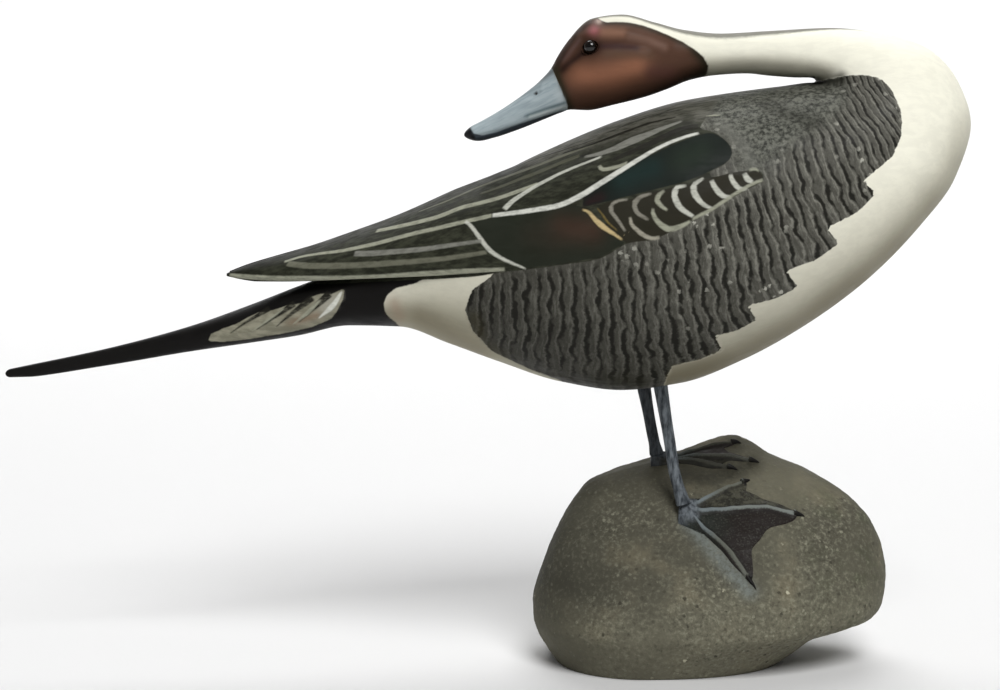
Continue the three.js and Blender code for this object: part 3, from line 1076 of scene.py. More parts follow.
@dataclass(frozen=True)
class Plumage:
    """Everything that is painted on the bird, measured in the view."""

    coats: int = 6
    apart: float = 2.6
    patches: tuple[Patch, ...] = (
        Patch("grey", Zone.BODY, ((600, 60), (815, 76), (815, 82), (832, 78.5), (849, 75.5), (868, 75),
            (880, 78.5), (888, 85), (894, 95), (900.5, 109), (902, 122), (901, 136), (893, 156),
            (863, 181), (876, 193), (858, 212), (826, 228), (839, 243), (816, 260), (785, 271),
            (799, 287), (774, 299), (747, 306), (757, 320), (736, 331), (714, 336), (722, 350),
            (698, 360), (672, 366), (664, 384), (664, 420), (566, 420), (562, 381), (527, 368),
            (492, 351), (473, 331), (465, 310), (472, 290), (491, 277), (500, 262), (470, 200),
            (440, 120)), rounded=False),
        Patch("black", Zone.BODY, ((-60, 250), (200, 250), (300, 240), (430, 262), (420, 281),
            (397, 288), (387, 296), (384, 306), (388, 316), (398, 325), (404, 345), (300, 400),
            (-60, 450))),
        Patch("tail_side", Zone.BODY, ((208, 341), (211, 334), (222, 329), (236, 324), (247, 318),
            (259, 312), (270, 311), (289, 305), (303, 303), (313, 296), (324, 293), (330, 295),
            (345, 288), (343, 299), (337, 311), (331, 319), (312, 327), (291, 332), (250, 339),
            (222, 342)), rounded=False),
        Patch("wing", Zone.BODY, ((215, 274), (229, 277.5), (307, 284), (393, 281), (470, 277),
            (502, 272), (524, 270), (560, 265), (600, 258.5), (627, 243.5), (661, 236), (690, 222),
            (722, 203.5), (748, 189), (762, 182), (764, 176), (758, 170), (745, 171), (730, 173.5),
            (716, 177), (709, 176), (711, 171), (720, 167), (728, 161), (732, 153), (729.5, 145),
            (722, 137.5), (711, 131), (700, 128), (706, 116), (704, 100), (700, 60), (420, 60),
            (200, 250))),
        Patch("scapular", Zone.BODY, ((500, 140), (610, 60), (720, 60), (712, 112), (697, 122),
            (686, 119), (640, 132), (600, 145), (566, 154), (530, 165))),
        Patch("speculum", Zone.BODY, ((467, 222), (477, 237), (486, 250), (503, 261), (524, 268),
            (560, 264), (600, 257), (625, 243), (613, 235), (596, 222), (583, 207), (570, 204),
            (553, 208), (520, 213), (495, 216)), rounded=False),
        Patch("oval", Zone.BODY, ((583, 207), (584, 198), (600, 185), (620, 172), (640, 161), (660, 151),
            (680, 142), (700, 135), (711, 133), (722, 138), (729, 145), (732, 153), (728, 161),
            (718, 167), (708, 172), (697, 177), (680, 183), (660, 188), (640, 193), (620, 198),
            (600, 203))),
        Patch("barred", Zone.BODY, ((596, 206), (612, 201), (632, 199), (652, 193), (675, 187),
            (690, 184), (700, 180), (712, 178), (730, 173), (745, 171), (758, 170), (763, 176),
            (761, 182), (748, 188), (736, 196), (722, 202), (712, 210), (700, 216), (690, 221),
            (680, 227), (662, 236), (652, 240), (634, 242), (627, 243), (613, 233)), rounded=False),
        Patch("brown", Zone.HEAD, ((553, 71), (545, 60), (548, 40), (565, 15), (588, 6), (596.5, 17),
            (601, 20.5), (607, 22.5), (616, 22), (630, 22.8), (642, 25.4), (656, 30.2), (669, 35.6),
            (683, 42.2), (694.5, 49.6), (703, 56.6), (708, 66), (706.5, 74), (690, 92), (650, 110),
            (610, 122), (572, 125), (568, 112), (567, 104), (562, 92), (557, 80)), rounded=False),
        Patch("bill", Zone.HEAD, ((545, 60), (553, 71), (557, 80), (562, 92), (567, 104), (568, 112),
            (572, 130), (500, 180), (430, 160), (430, 100), (500, 50)), rounded=False),
        # Painted shade under the bill: the lower bill is darkened.
        Patch("shaded_mandible", Zone.HEAD, ((570, 110), (560, 111.5), (544, 116.5), (528, 121.5), (512, 127),
            (496, 132.5), (482, 135.5), (474, 133.5), (470, 128), (440, 130), (450, 180), (575, 180)),
            rounded=False),
        Patch("nail", Zone.HEAD, ((450, 165), (450, 112), (468, 122), (470.5, 128), (472, 133),
            (476, 140), (478, 160))),
        Patch("stipple", Zone.BODY, ((600, 60), (700, 60), (815, 70), (840, 84), (846, 98), (832, 116),
            (808, 134), (784, 150), (765, 168), (740, 168), (730, 140), (705, 124), (660, 110))),
    )
    strokes: tuple[Stroke, ...] = (
        Stroke(Brush.PALE, (0.7, 1.05, 0.9), ((284, 262), (300, 257), (320, 253.5), (340, 251),
            (360, 247), (380, 242.5), (400, 237), (420, 232), (440, 227.5), (465, 221.5), (492, 215.5))),
        Stroke(Brush.BRIGHT, (0.9, 1.15, 0.7), ((492, 215.5), (520, 212), (540, 209), (560, 205),
            (580, 196), (600, 183.5), (620, 171), (640, 158.5), (660, 147), (680, 138.5), (699, 133))),
        Stroke(Brush.WHITE, (0.7, 0.85, 0.4), ((465, 221), (471, 226), (480, 238), (490, 250.5),
            (504, 259.5), (526, 269))),
        Stroke(Brush.PALE, (0.9, 1.5, 0.8), ((229, 275.5), (253, 277.5), (280, 278.8), (309, 279),
            (342, 279), (376, 278), (420, 274.6), (464, 271.4), (505, 269.4))),
        Stroke(Brush.ASH, (1.2, 1.0, 0.7), ((354, 253.5), (368, 253.5), (390, 252), (420, 249.5),
            (445, 246), (470, 242.5), (482, 241))),
        Stroke(Brush.OLIVE, (1.3, 1.1, 0.8), ((287, 263.5), (300, 265), (320, 266), (360, 265),
            (400, 262.5), (440, 259), (470, 255), (487, 252))),
        Stroke(Brush.PALE, (1.3, 1.2, 1.0), ((376, 231), (400, 226), (420, 221.5), (440, 216),
            (460, 208), (480, 203), (500, 197.5), (520, 190.5), (538, 184))),
        Stroke(Brush.WHITE, (1.2, 0.85, 0.6), ((504, 209.5), (512, 201.5), (522, 194.5), (534, 187),
            (548, 179.5), (562, 172.5), (580, 165), (602, 156.5))),
        Stroke(Brush.OLIVE, (0.5, 1.2, 1.0), ((418, 212), (448, 200.5), (475, 188.5), (500, 179),
            (525, 170), (550, 160.5), (575, 151), (604, 140))),
        Stroke(Brush.MOSS, (0.6, 1.3, 1.0), ((480, 194), (500, 187), (520, 179), (540, 171.5),
            (560, 163), (580, 155.5))),
        Stroke(Brush.PALE, (0.75, 0.9, 0.6), ((599, 165.5), (602, 169.2), (608.5, 168.8), (619.6, 166),
            (628, 162))),
        Stroke(Brush.ASH, (0.7, 2.2, 0.6), ((584, 157), (600, 153.5), (616, 148), (630, 141.5),
            (645, 135.5), (662, 128.5), (682, 121))),
        Stroke(Brush.INK, (0.7, 1.1, 0.5), ((562, 153.5), (594, 143.5), (618, 134.5), (648, 123.5),
            (676, 117))),
        Stroke(Brush.INK, (0.4, 0.7, 0.4), ((470, 185), (500, 173), (535, 159), (565, 149.5),
            (596, 139))),
        Stroke(Brush.OLIVE, (0.4, 0.6, 0.4), ((452, 190), (480, 179), (510, 167), (540, 155),
            (568, 146))),
        Stroke(Brush.INK, (0.4, 0.6, 0.4), ((606, 133), (630, 123.5), (655, 115), (684, 109))),
        Stroke(Brush.INK, (0.9, 1.5, 1.3), ((612, 160), (630, 152.5), (650, 143.5), (670, 133.5),
            (686, 127.5), (699, 126))),
        Stroke(Brush.GOLD, (0.4, 1.05, 0.4), ((582, 209.5), (589, 212.4), (595, 219.5), (603.5, 227),
            (612.5, 233), (622.5, 240))),
        Stroke(Brush.BUFF, (0.3, 0.45, 0.3), ((597, 208), (602, 214), (608, 222.5), (618, 231.3))),
        Stroke(Brush.DRAB, (0.45, 0.76, 0.53), ((628.5, 199.5), (618, 200.8), (611, 205.2), (611, 211),
            (616.5, 218.3), (622.5, 227), (625.5, 231.3))),
        Stroke(Brush.STONE, (0.6, 0.83, 0.6), ((630, 217), (631.3, 224), (637, 230), (644.5, 235.7),
            (653, 238.6), (660.4, 237.2))),
        Stroke(Brush.DRAB, (0.53, 0.93, 0.6), ((651.6, 193.5), (641.5, 196.4), (635.6, 200.8),
            (634.2, 205.2), (637, 212.4), (643, 216.8), (648.7, 219.7))),
        Stroke(Brush.PALE, (0.6, 1.13, 0.6), ((653, 208), (653, 214), (657.4, 221.2), (663.3, 226.3),
            (670.5, 229.2), (680.7, 226.3), (691, 221.2))),
        Stroke(Brush.PALE, (0.53, 0.99, 0.53), ((664.7, 190.6), (659, 194.3), (656.7, 199.4),
            (660.4, 205.2), (667.6, 210.3))),
        Stroke(Brush.WHITE, (0.53, 1.18, 0.68), ((686.5, 185.5), (676.3, 187.7), (674.2, 192.1),
            (675, 198), (679.3, 206.6), (686.5, 212.4), (693.8, 216.8))),
        Stroke(Brush.WHITE, (0.53, 1.2, 0.53), ((704, 178.3), (695.3, 183.4), (693, 187.7), (695.3, 195),
            (701, 202.3), (707, 206.6), (712.7, 208.1))),
        Stroke(Brush.WHITE, (0.83, 1.09, 0.6), ((711.3, 180), (714.2, 186.3), (718.5, 192.1),
            (724.3, 196.4), (731.6, 197.2))),
        Stroke(Brush.WHITE, (0.76, 0.99, 0.6), ((730.2, 173.8), (731.6, 179), (735.2, 184.8),
            (741, 189.2), (747.6, 187.7))),
        Stroke(Brush.WHITE, (0.91, 1.13, 0.76), ((744, 173.2), (747.6, 179), (753.4, 182.6))),
        Stroke(Brush.PALE, (0.53, 0.6, 0.45), ((749, 170.5), (755, 168.5), (759, 171.5))),
        Stroke(Brush.PALE, (0.6, 0.68, 0.6), ((691, 220), (699.6, 215.3), (711.3, 209.5), (724.3, 200.8),
            (740.3, 190.6), (753.4, 183.4), (763.6, 179.7))),
        Stroke(Brush.INK, (1.7, 0.9, 0.2), ((330, 293), (310, 311.7), (298, 323))),
        Stroke(Brush.INK, (1.6, 0.8, 0.2), ((313, 297), (291, 314), (276, 327))),
        Stroke(Brush.INK, (1.4, 0.7, 0.2), ((295, 303), (274, 317.5), (256, 330))),
        Stroke(Brush.INK, (1.3, 0.6, 0.2), ((270, 308), (248, 321), (230, 333.5))),
        Stroke(Brush.BRIGHT, (0.5, 1.1, 0.2), ((342, 291), (333.3, 305), (318, 319))),
        Stroke(Brush.PALE, (0.5, 0.8, 0.2), ((321, 299.5), (306, 314), (292, 325))),
        Stroke(Brush.PALE, (0.3, 0.5, 0.2), ((284, 308.5), (266.7, 321), (252, 331))),
        Stroke(Brush.INK, (0.5, 0.8, 0.45), ((533.8, 94.2), (536, 93.2), (538.2, 92.2))),
        Stroke(Brush.PALE, (0.4, 0.6, 0.3), ((706, 116), (712, 115.5), (721, 115))),
    )
    glows: tuple[Glow, ...] = (
        # Painted highlight on the cheek's bulge.
        Glow("brown", ((580, 77), (606, 76), (624, 71), (636, 66)), 13, (136, 92, 70), 0.95),
        Glow("brown", ((652, 72), (670, 74)), 8, (84, 54, 48), 0.7),
        # Painted highlights along the brow ridge, and a pink one on the forehead.
        Glow("brown", ((604, 33), (622, 33.5)), 5, (128, 94, 76), 0.9),
        Glow("brown", ((630, 37), (648, 41), (664, 48)), 4, (112, 86, 74), 0.8),
        Glow("brown", ((594, 31),), 5.5, (158, 96, 98), 0.85),
        # Painted shade in the groove behind the eye.
        Glow("brown", ((600, 46), (618, 46), (636, 48)), 4.5, (54, 34, 34), 0.9),
        Glow("brown", ((608, 54), (650, 55)), 5, (84, 64, 50), 0.6),
        Glow("brown", ((590, 47),), 10, (30, 21, 15), 0.95),
        Glow("brown", ((562, 70), (571, 61), (580, 54)), 4.5, (38, 24, 20), 0.9),
        Glow("brown", ((563, 60), (572, 49), (580, 40)), 2.2, (92, 72, 68), 0.7),
        Glow("brown", ((558, 66), (566, 50), (578, 33), (590, 22)), 2.2, (48, 36, 30), 0.7),
        # Painted shade in the crease at the bill's base.
        Glow("brown", ((555, 68), (560, 82), (567, 100), (571, 112)), 4.5, (44, 40, 27), 0.9),
        # Painted shade along the head's underside.
        Glow("brown", ((576, 122), (612, 114), (650, 100), (684, 84), (706, 72)), 10, (26, 19, 13), 0.92),
        Glow("brown", ((612, 20), (640, 25), (668, 34), (692, 48)), 3.5, (58, 48, 36), 0.75),
        Glow("brown", ((696, 52), (709, 66), (706, 76)), 6, (36, 33, 22), 0.9),
        # Painted highlight on the crown.
        Glow("brown", ((599, 21),), 3, (190, 168, 156), 0.8),
        Glow("oval", ((622, 180), (652, 168)), 12, (26, 46, 44), 0.6),
        Glow("oval", ((682, 160), (700, 152)), 13, (36, 46, 36), 0.6),
        Glow("oval", ((590, 203), (600, 198)), 6, (44, 24, 26), 0.6),
        Glow("speculum", ((562, 228), (592, 230)), 14, (64, 47, 38), 0.8),
        Glow("speculum", ((534, 234), (552, 238)), 14, (46, 42, 34), 0.6),
        Glow("tail_side", ((325, 308), (334, 298)), 7, (160, 158, 146), 0.8),
        Glow("tail_side", ((290, 323), (318, 315)), 4, (126, 104, 86), 0.6),
        Glow("cream", ((394, 303), (399, 316)), 7, (150, 130, 112), 0.55),
        # Painted shade along the wing's top edge, where the lamp lights it.
        Glow("wing", ((200, 278), (240, 262), (300, 240), (350, 220), (400, 199), (440, 182), (470, 169),
            (500, 155)), 13, (13, 13, 9), 0.85),
        Glow("wing", ((500, 155), (540, 138), (580, 124), (620, 110)), 8, (40, 39, 32), 0.5),
        # Painted shade on the cream under the back of the flank.
        Glow("cream", ((420, 318), (450, 334), (480, 352)), 12, (110, 100, 78), 0.45),
        # Painted shadow where the neck meets the back.
        Glow("grey", ((812, 82), (828, 82), (842, 79)), 5, (30, 30, 23), 0.85),
        Glow("cream", ((814, 86), (828, 82), (842, 76)), 5, (40, 40, 31), 0.85),
        # Painted shade along the forehead's front edge.
        Glow("brown", ((596, 10), (578, 24), (565, 42), (556, 62)), 4.5, (44, 34, 28), 0.7),
        # Painted shade along the flank's lower edges.
        Glow("grey", ((474, 318), (484, 344), (504, 360)), 7, (52, 48, 28), 0.6),
        Glow("grey", ((505, 362), (560, 379), (640, 385)), 9, (36, 35, 25), 0.6),
        # Painted shade along the bill's top ridge.
        Glow("bill", ((553, 71), (520, 92), (490, 108), (464, 124)), 3.6, (92, 98, 100), 0.85),
        # Painted highlight near the bill's base.
        Glow("bill", ((559, 93), (563, 102)), 5, (188, 198, 200), 0.6),
        Glow("bill", ((567, 102), (545, 109), (526, 116)), 1.6, (70, 90, 94), 0.75),
        Glow("bill", ((569, 106), (548, 111.5), (530, 117)), 1.4, (196, 206, 204), 0.8),
        Glow("bill", ((540, 86), (512, 102), (486, 117)), 1.5, (112, 124, 128), 0.5),
        Glow("stipple", ((768, 106), (790, 114), (812, 122)), 9, (40, 40, 33), 0.55),
        Glow("stipple", ((724, 128), (744, 146), (752, 164)), 8, (112, 112, 105), 0.5),
        # Painted shade under the neck, and painted shadow in the crease below it.
        Glow("cream", ((698, 80), (740, 77), (778, 78), (806, 81), (828, 85)), 7.6, (84, 85, 68), 0.85),
        Glow("cream", ((810, 84), (822, 86)), 4, (34, 34, 26), 0.9),
        # Painted shade along the breast's and belly's outline, where the surface turns away.
        Glow("cream", ((966, 120), (953, 180), (916, 230), (864, 283), (803, 328), (742, 361),
            (664, 384)), 15, (112, 106, 82), 0.24),
        Glow("cream", ((958, 165), (916, 230), (864, 283), (803, 328), (742, 361), (664, 384)),
            16, (108, 101, 78), 0.24),
        Glow("cream", ((934, 208), (864, 283), (803, 328), (742, 361), (664, 384)), 17, (104, 96, 73),
            0.26),
        Glow("cream", ((898, 250), (803, 328), (742, 361), (664, 384)), 18, (100, 91, 68), 0.3),
        Glow("cream", ((858, 288), (803, 328), (742, 361), (664, 384)), 18, (100, 91, 68), 0.35),
    )


class Way(Enum):
    """What goes into or comes out of a node group."""

    PLACE_IN = ("INPUT", "NodeSocketVector")
    NUMBER_IN = ("INPUT", "NodeSocketFloat")
    MASK_OUT = ("OUTPUT", "NodeSocketFloat")


def start_group(name: str, **sockets: Way) -> tuple[Recipe, bpy.types.Node, bpy.types.Node]:
    """Start a node group.

    Args:
        name: the group's name.
        sockets: what goes in and out, by name.

    Returns:
        The recipe that fills it, its input node and its output node.
    """
    tree = bpy.data.node_groups.new(name, "ShaderNodeTree")
    for label, way in sockets.items():
        tree.interface.new_socket(label, in_out=way.value[0], socket_type=way.value[1])
    return Recipe(tree), tree.nodes.new("NodeGroupInput"), tree.nodes.new("NodeGroupOutput")


def brush_marks_group() -> bpy.types.NodeTree:
    """Make the node group of fine brush marks that all the paints share.

    Returns:
        The group, with a place and a fineness in, and the marks' strength and height out.
    """
    recipe, given, result = start_group(
        "brush_marks", Place=Way.PLACE_IN, Fineness=Way.NUMBER_IN, Marks=Way.MASK_OUT, Height=Way.MASK_OUT)
    place = recipe.scaled(given.outputs["Place"], given.outputs["Fineness"])
    stretched = recipe.node("VectorMath", operation="MULTIPLY")
    recipe.feed(stretched.inputs[0], place)
    stretched.inputs[1].default_value = (0.25, 1.0, 1.0)
    streaks = recipe.cloud(stretched.outputs[0], 1.0, 4.0, 0.6, 0.4)
    blots = recipe.cloud(place, 0.35, 3.0, 0.55)
    marks = recipe.plus(recipe.times(streaks, 0.6), recipe.times(blots, 0.4))
    recipe.feed(result.inputs["Marks"], recipe.rise(marks, 0.35, 0.65))
    recipe.feed(result.inputs["Height"], streaks)
    return recipe.tree


def specks_group() -> bpy.types.NodeTree:
    """Make the node group of scattered ragged specks, for sand on the rock and flecks on the flanks.

    Returns:
        The group, with a place, a fineness, a share and a size in, and the specks' mask out.
    """
    recipe, given, result = start_group(
        "specks",
        Place=Way.PLACE_IN,
        Fineness=Way.NUMBER_IN,
        Share=Way.NUMBER_IN,
        Size=Way.NUMBER_IN,
        Specks=Way.MASK_OUT,
    )
    cells = recipe.node("TexVoronoi", feature="F1")
    recipe.feed(cells.inputs["Vector"], given.outputs["Place"])
    recipe.feed(cells.inputs["Scale"], given.outputs["Fineness"])
    chance = recipe.node("TexWhiteNoise", noise_dimensions="3D")
    recipe.feed(chance.inputs["Vector"], cells.outputs["Position"])
    chosen = recipe.math("LESS_THAN", chance.outputs["Value"], given.outputs["Share"])
    inner = recipe.times(given.outputs["Size"], 0.5)
    ragged = recipe.cloud(given.outputs["Place"], 2.5, 3.0, 0.6)
    away = recipe.spread(recipe.plus(ragged, -0.5), 0.7, cells.outputs["Distance"])
    speck = recipe.rise(away, given.outputs["Size"], inner)
    recipe.feed(result.inputs["Specks"], recipe.times(chosen, speck))
    return recipe.tree


@dataclass(frozen=True)
class Coat:
    """A dried coat of paint: how much it reflects, and how high its brush marks stand."""

    grain: float
    grain_mm: float
    reflecting: float = 1.18

    def end(self, recipe: Recipe, colour: object, roughness: object, height: object) -> None:
        """End a painted material with one surface.

        Args:
            recipe: the material's recipe.
            colour: its colour.
            roughness: its roughness.
            height: how high the paint stands, from 0 to 1.
        """
        surface = recipe.node("BsdfPrincipled")
        recipe.feed(surface.inputs["Base Color"], colour)
        recipe.feed(surface.inputs["Roughness"], roughness)
        surface.inputs["IOR"].default_value = self.reflecting
        bump = recipe.node("Bump")
        bump.inputs["Strength"].default_value = self.grain
        bump.inputs["Distance"].default_value = self.grain_mm * METRE
        recipe.feed(bump.inputs["Height"], height)
        recipe.feed(surface.inputs["Normal"], bump.outputs[0])
        recipe.finish(surface)


def new_recipe(name: str) -> tuple[bpy.types.Material, Recipe]:
    """Start an empty material.

    Args:
        name: the material's name.

    Returns:
        The material and the recipe that fills it.
    """
    made = bpy.data.materials.new(name)
    made.use_nodes = True
    made.node_tree.nodes.clear()
    return made, Recipe(made.node_tree)


@dataclass
class Layers:
    """The paint so far, over which each patch is laid."""

    recipe: Recipe
    wobble: Socket
    colour: Socket

    def lay(self, name: str, over: object, soft: float = 0.12, ragged: float = 0.3) -> None:
        """Lay a patch's paint over the colour so far.

        Args:
            name: the patch's name.
            over: its colour.
            soft: how far its edge fades to each side, in millimetres.
            ragged: how much the brush strays from the edge.
        """
        depth = self.recipe.spread(self.wobble, ragged, self.recipe.amount("depth_" + name))
        self.colour = self.recipe.mix(self.recipe.rise(depth, -soft, soft), self.colour, over)


@dataclass(frozen=True)
class BirdPaint:
    """The painted plumage, head and bill, mixed from the attributes that the bird's mesh carries."""

    plumage: Plumage
    brush_marks: bpy.types.NodeTree
    specks: bpy.types.NodeTree
    cream: Colour = paint_colour(236, 234, 218)
    # Cream in painted shade, for the underside and towards the tail.
    cream_shaded: Colour = paint_colour(118, 112, 88)
    grey: Colour = paint_colour(84, 83, 76)
    # Grey in painted shade, for the underside and towards the tail.
    grey_shaded: Colour = paint_colour(63, 62, 56)
    grey_light: Colour = paint_colour(128, 127, 118)
    grey_dark: Colour = paint_colour(24, 23, 19)
    fleck: Colour = paint_colour(170, 169, 158)
    stipple_dark: Colour = paint_colour(44, 45, 40)
    stipple_light: Colour = paint_colour(110, 111, 102)
    black: Colour = paint_colour(19, 18, 17)
    wing: Colour = paint_colour(33, 34, 26)
    wing_light: Colour = paint_colour(76, 78, 64)
    scapular: Colour = paint_colour(98, 97, 88)
    scapular_dark: Colour = paint_colour(58, 58, 50)
    tail_side: Colour = paint_colour(120, 118, 102)
    tail_side_light: Colour = paint_colour(168, 165, 146)
    speculum: Colour = paint_colour(36, 39, 31)
    oval: Colour = paint_colour(23, 29, 25)
    barred: Colour = paint_colour(40, 38, 29)
    brown: Colour = paint_colour(80, 56, 44)
    brown_rim: Colour = paint_colour(34, 29, 20)
    bill: Colour = paint_colour(160, 172, 176)
    bill_dark: Colour = paint_colour(118, 132, 138)
    # Dark blue-grey of the lower bill, as painted shade.
    shaded_mandible: Colour = paint_colour(58, 64, 70)
    nail: Colour = paint_colour(26, 26, 28)
    nape: Colour = paint_colour(106, 105, 94)
    wave_length: float = 6.4

    def material(self) -> bpy.types.Material:
        """Mix the whole paint.

        Returns:
            The material.
        """
        made, recipe = new_recipe("plumage_paint")
        place = recipe.place_mm()
        marks = recipe.group(self.brush_marks, Place=place, Fineness=0.9)
        wobble = recipe.spread(recipe.cloud(place, 1.3, 3.0), 0.5, -0.25)
        colour = self.cream_paint(recipe, place)
        colour = self.patched(recipe, place, Layers(recipe, wobble, colour))
        # The soft bands, many of them painted highlights and painted shade, are laid over the patches.
        kept = recipe.mix(recipe.amount("glow_share"), colour, (0.0, 0.0, 0.0))
        colour = recipe.mix(1.0, kept, recipe.triple("glow"), "ADD")
        colour, raised = self.lined(recipe, place, wobble, colour)
        nape = recipe.rise(recipe.plus(recipe.amount("nape"), wobble), 0.7, -0.6, 0.0, 0.95)
        colour = recipe.mix(nape, colour, self.nape)
        tint = recipe.rise(marks.outputs["Marks"], 0.0, 1.0, 0.95, 1.02)
        colour = recipe.mix(1.0, colour, recipe.vector(tint, tint, tint), "MULTIPLY")
        roughness = recipe.rise(marks.outputs["Marks"], 0.0, 1.0, 0.42, 0.6)
        height = recipe.spread(raised, 0.9, recipe.times(marks.outputs["Height"], 0.8))
        Coat(0.35, 0.12).end(recipe, colour, roughness, height)
        return made

    def cream_paint(self, recipe: Recipe, place: Socket) -> Socket:
        """Mix the cream of the neck, breast and belly, with painted shade where it faces down or towards the
        tail.

        Args:
            recipe: where the nodes go.
            place: place in millimetres.

        Returns:
            The colour.
        """
        # Painted shade where the surface faces down and towards the tail, with faint cloudy grime over it.
        shade_and_dirt = recipe.spread(recipe.amount("shade_below"), 0.5, recipe.times(recipe.amount("shade_to_tail"), 0.3))
        shade_and_dirt = recipe.spread(recipe.plus(recipe.cloud(place, 0.07, 4.0, 0.6), -0.5), 0.12, shade_and_dirt)
        return recipe.mix(shade_and_dirt, self.cream, self.cream_shaded)

    def grey_paint(self, recipe: Recipe, place: Socket) -> Socket:
        """Mix the flanks' barred grey, darkened by painted shade underneath and towards the tail, and the
        stippled grey of the shoulders that it passes into.

        Args:
            recipe: where the nodes go.
            place: place in millimetres.

        Returns:
            The colour.
        """
        dark, light = self.bars(recipe, place)
        # Painted shade: the grey darkens, and its light streaks and flecks fade, where it faces down and
        # towards the tail.
        behind = recipe.times(recipe.amount("shade_to_tail"), 0.9)
        shaded = recipe.spread(recipe.amount("shade_below"), 0.45, behind)
        light = recipe.times(light, recipe.rise(shaded, 0.0, 1.0, 0.95, 0.35))
        barred = recipe.mix(light, recipe.mix(shaded, self.grey, self.grey_shaded), self.grey_light)
        grain = recipe.cloud(place, 1.5, 4.0, 0.75)
        barred = recipe.mix(recipe.rise(grain, 0.35, 0.75, 0.0, 0.4), barred, self.grey_dark)
        barred = recipe.mix(recipe.times(dark, 0.92), barred, self.grey_dark)
        flecks = recipe.group(self.specks, Place=place, Fineness=0.8, Share=0.3, Size=0.42)
        where = recipe.rise(recipe.cloud(place, 0.12, 2.0), 0.45, 0.6)
        where = recipe.times(where, recipe.rise(shaded, 0.8, 0.3, 0.0, 0.95))
        barred = recipe.mix(recipe.times(flecks.outputs["Specks"], where), barred, self.fleck)
        mottle = recipe.rise(recipe.cloud(place, 1.2, 4.0, 0.7), 0.35, 0.65)
        stippled = recipe.mix(mottle, self.stipple_dark, self.stipple_light)
        return recipe.mix(recipe.rise(recipe.amount("depth_stipple"), -2.5, 2.5), barred, stippled)

    def bars(self, recipe: Recipe, place: Socket) -> tuple[Socket, Socket]:
        """Draw the wavy dark bars of the flank feathers and the light streaks between them.

        Args:
            recipe: where the nodes go.
            place: place in millimetres.

        Returns:
            The masks of the dark bars and of the light streaks.
        """
        tread, down, _ = recipe.parts(recipe.triple("weave"))
        tread = recipe.spread(recipe.cloud(place, 0.05, 1.0), 1.6, tread)
        cell = recipe.math("FLOOR", tread)
        chance = recipe.node("TexWhiteNoise", noise_dimensions="1D")
        recipe.feed(chance.inputs["W"], cell)
        turn = recipe.spread(down, 2 * math.pi / self.wave_length, recipe.times(chance.outputs["Value"], 2.0))
        sway = recipe.spread(recipe.cloud(place, 0.11, 1.0), 9.0, turn)
        wave = recipe.times(recipe.math("SINE", sway), 0.13)
        shake = recipe.spread(recipe.cloud(place, 0.5, 3.0, 0.6), 0.9, -0.45)
        middle = recipe.plus(recipe.math("FRACT", tread), -0.5)
        across = recipe.plus(middle, recipe.plus(wave, shake))
        apart = recipe.math("ABSOLUTE", across)
        press_place = recipe.vector(recipe.times(cell, 3.7), recipe.times(down, 0.24), 0.0)
        half = recipe.rise(recipe.cloud(press_place, 1.0, 2.0, 0.6), 0.3, 0.6, -0.06, 0.19)
        dark = recipe.rise(apart, recipe.plus(half, 0.13), recipe.less(half, 0.1))
        below_wing = recipe.rise(recipe.amount("depth_wing"), -0.3, -1.8)
        streak_place = recipe.vector(recipe.times(tread, 2.3), recipe.times(down, 0.3), 0.0)
        streaks = recipe.cloud(streak_place, 1.0, 4.0, 0.7, 1.2)
        beside = recipe.math("ABSOLUTE", recipe.plus(across, 0.24))
        streaks = recipe.plus(streaks, recipe.rise(beside, 0.3, 0.0, 0.0, 0.2))
        light = recipe.times(recipe.rise(streaks, 0.42, 0.8), recipe.rise(apart, 0.1, 0.3))
        return recipe.times(dark, below_wing), light

    def patched(self, recipe: Recipe, place: Socket, layers: Layers) -> Socket:
        """Lay the patches one over another.

        Args:
            recipe: where the nodes go.
            place: place in millimetres.
            layers: the cream paint that they lie on.

        Returns:
            The colour with all of them.
        """
        across, deep, up = recipe.parts(place)
        streak_place = recipe.vector(recipe.times(across, 0.25), deep, up)
        streak = recipe.rise(recipe.cloud(streak_place, 1.2, 3.0, 0.6), 0.35, 0.7)
        rim = recipe.spread(layers.wobble, 0.5, recipe.amount("depth_brown"))
        rim = recipe.rise(rim, 0.9, 0.1, 0.0, 0.75)
        fall = recipe.plus(recipe.times(across, 0.42), recipe.times(up, -0.91))
        bill_place = recipe.vector(recipe.times(across, 0.12), deep, fall)
        bill_streak = recipe.rise(recipe.cloud(bill_place, 1.6, 3.0, 0.6), 0.35, 0.7, 0.0, 0.5)
        layers.lay("grey", self.grey_paint(recipe, place), 0.1, 1.0)
        layers.lay("black", self.black, 0.15, 0.6)
        tail_side = recipe.mix(recipe.times(streak, 0.5), self.tail_side, self.tail_side_light)
        layers.lay("tail_side", tail_side, 0.12, 0.5)
        layers.lay("wing", recipe.mix(recipe.times(streak, 0.45), self.wing, self.wing_light))
        layers.lay("scapular", recipe.mix(streak, self.scapular, self.scapular_dark), 0.9, 2.0)
        layers.lay("speculum", self.speculum, 0.1, 0.1)
        layers.lay("barred", self.barred, 0.12, 0.1)
        layers.lay("oval", self.oval, 0.12, 0.1)
        layers.lay("brown", recipe.mix(rim, self.brown, self.brown_rim), 0.14)
        layers.lay("bill", recipe.mix(bill_streak, self.bill, self.bill_dark), 0.1, 0.1)
        # Painted shade: the lower bill is laid dark.
        layers.lay("shaded_mandible", self.shaded_mandible, 0.15, 0.2)
        layers.lay("nail", self.nail, 0.3, 0.4)
        return layers.colour

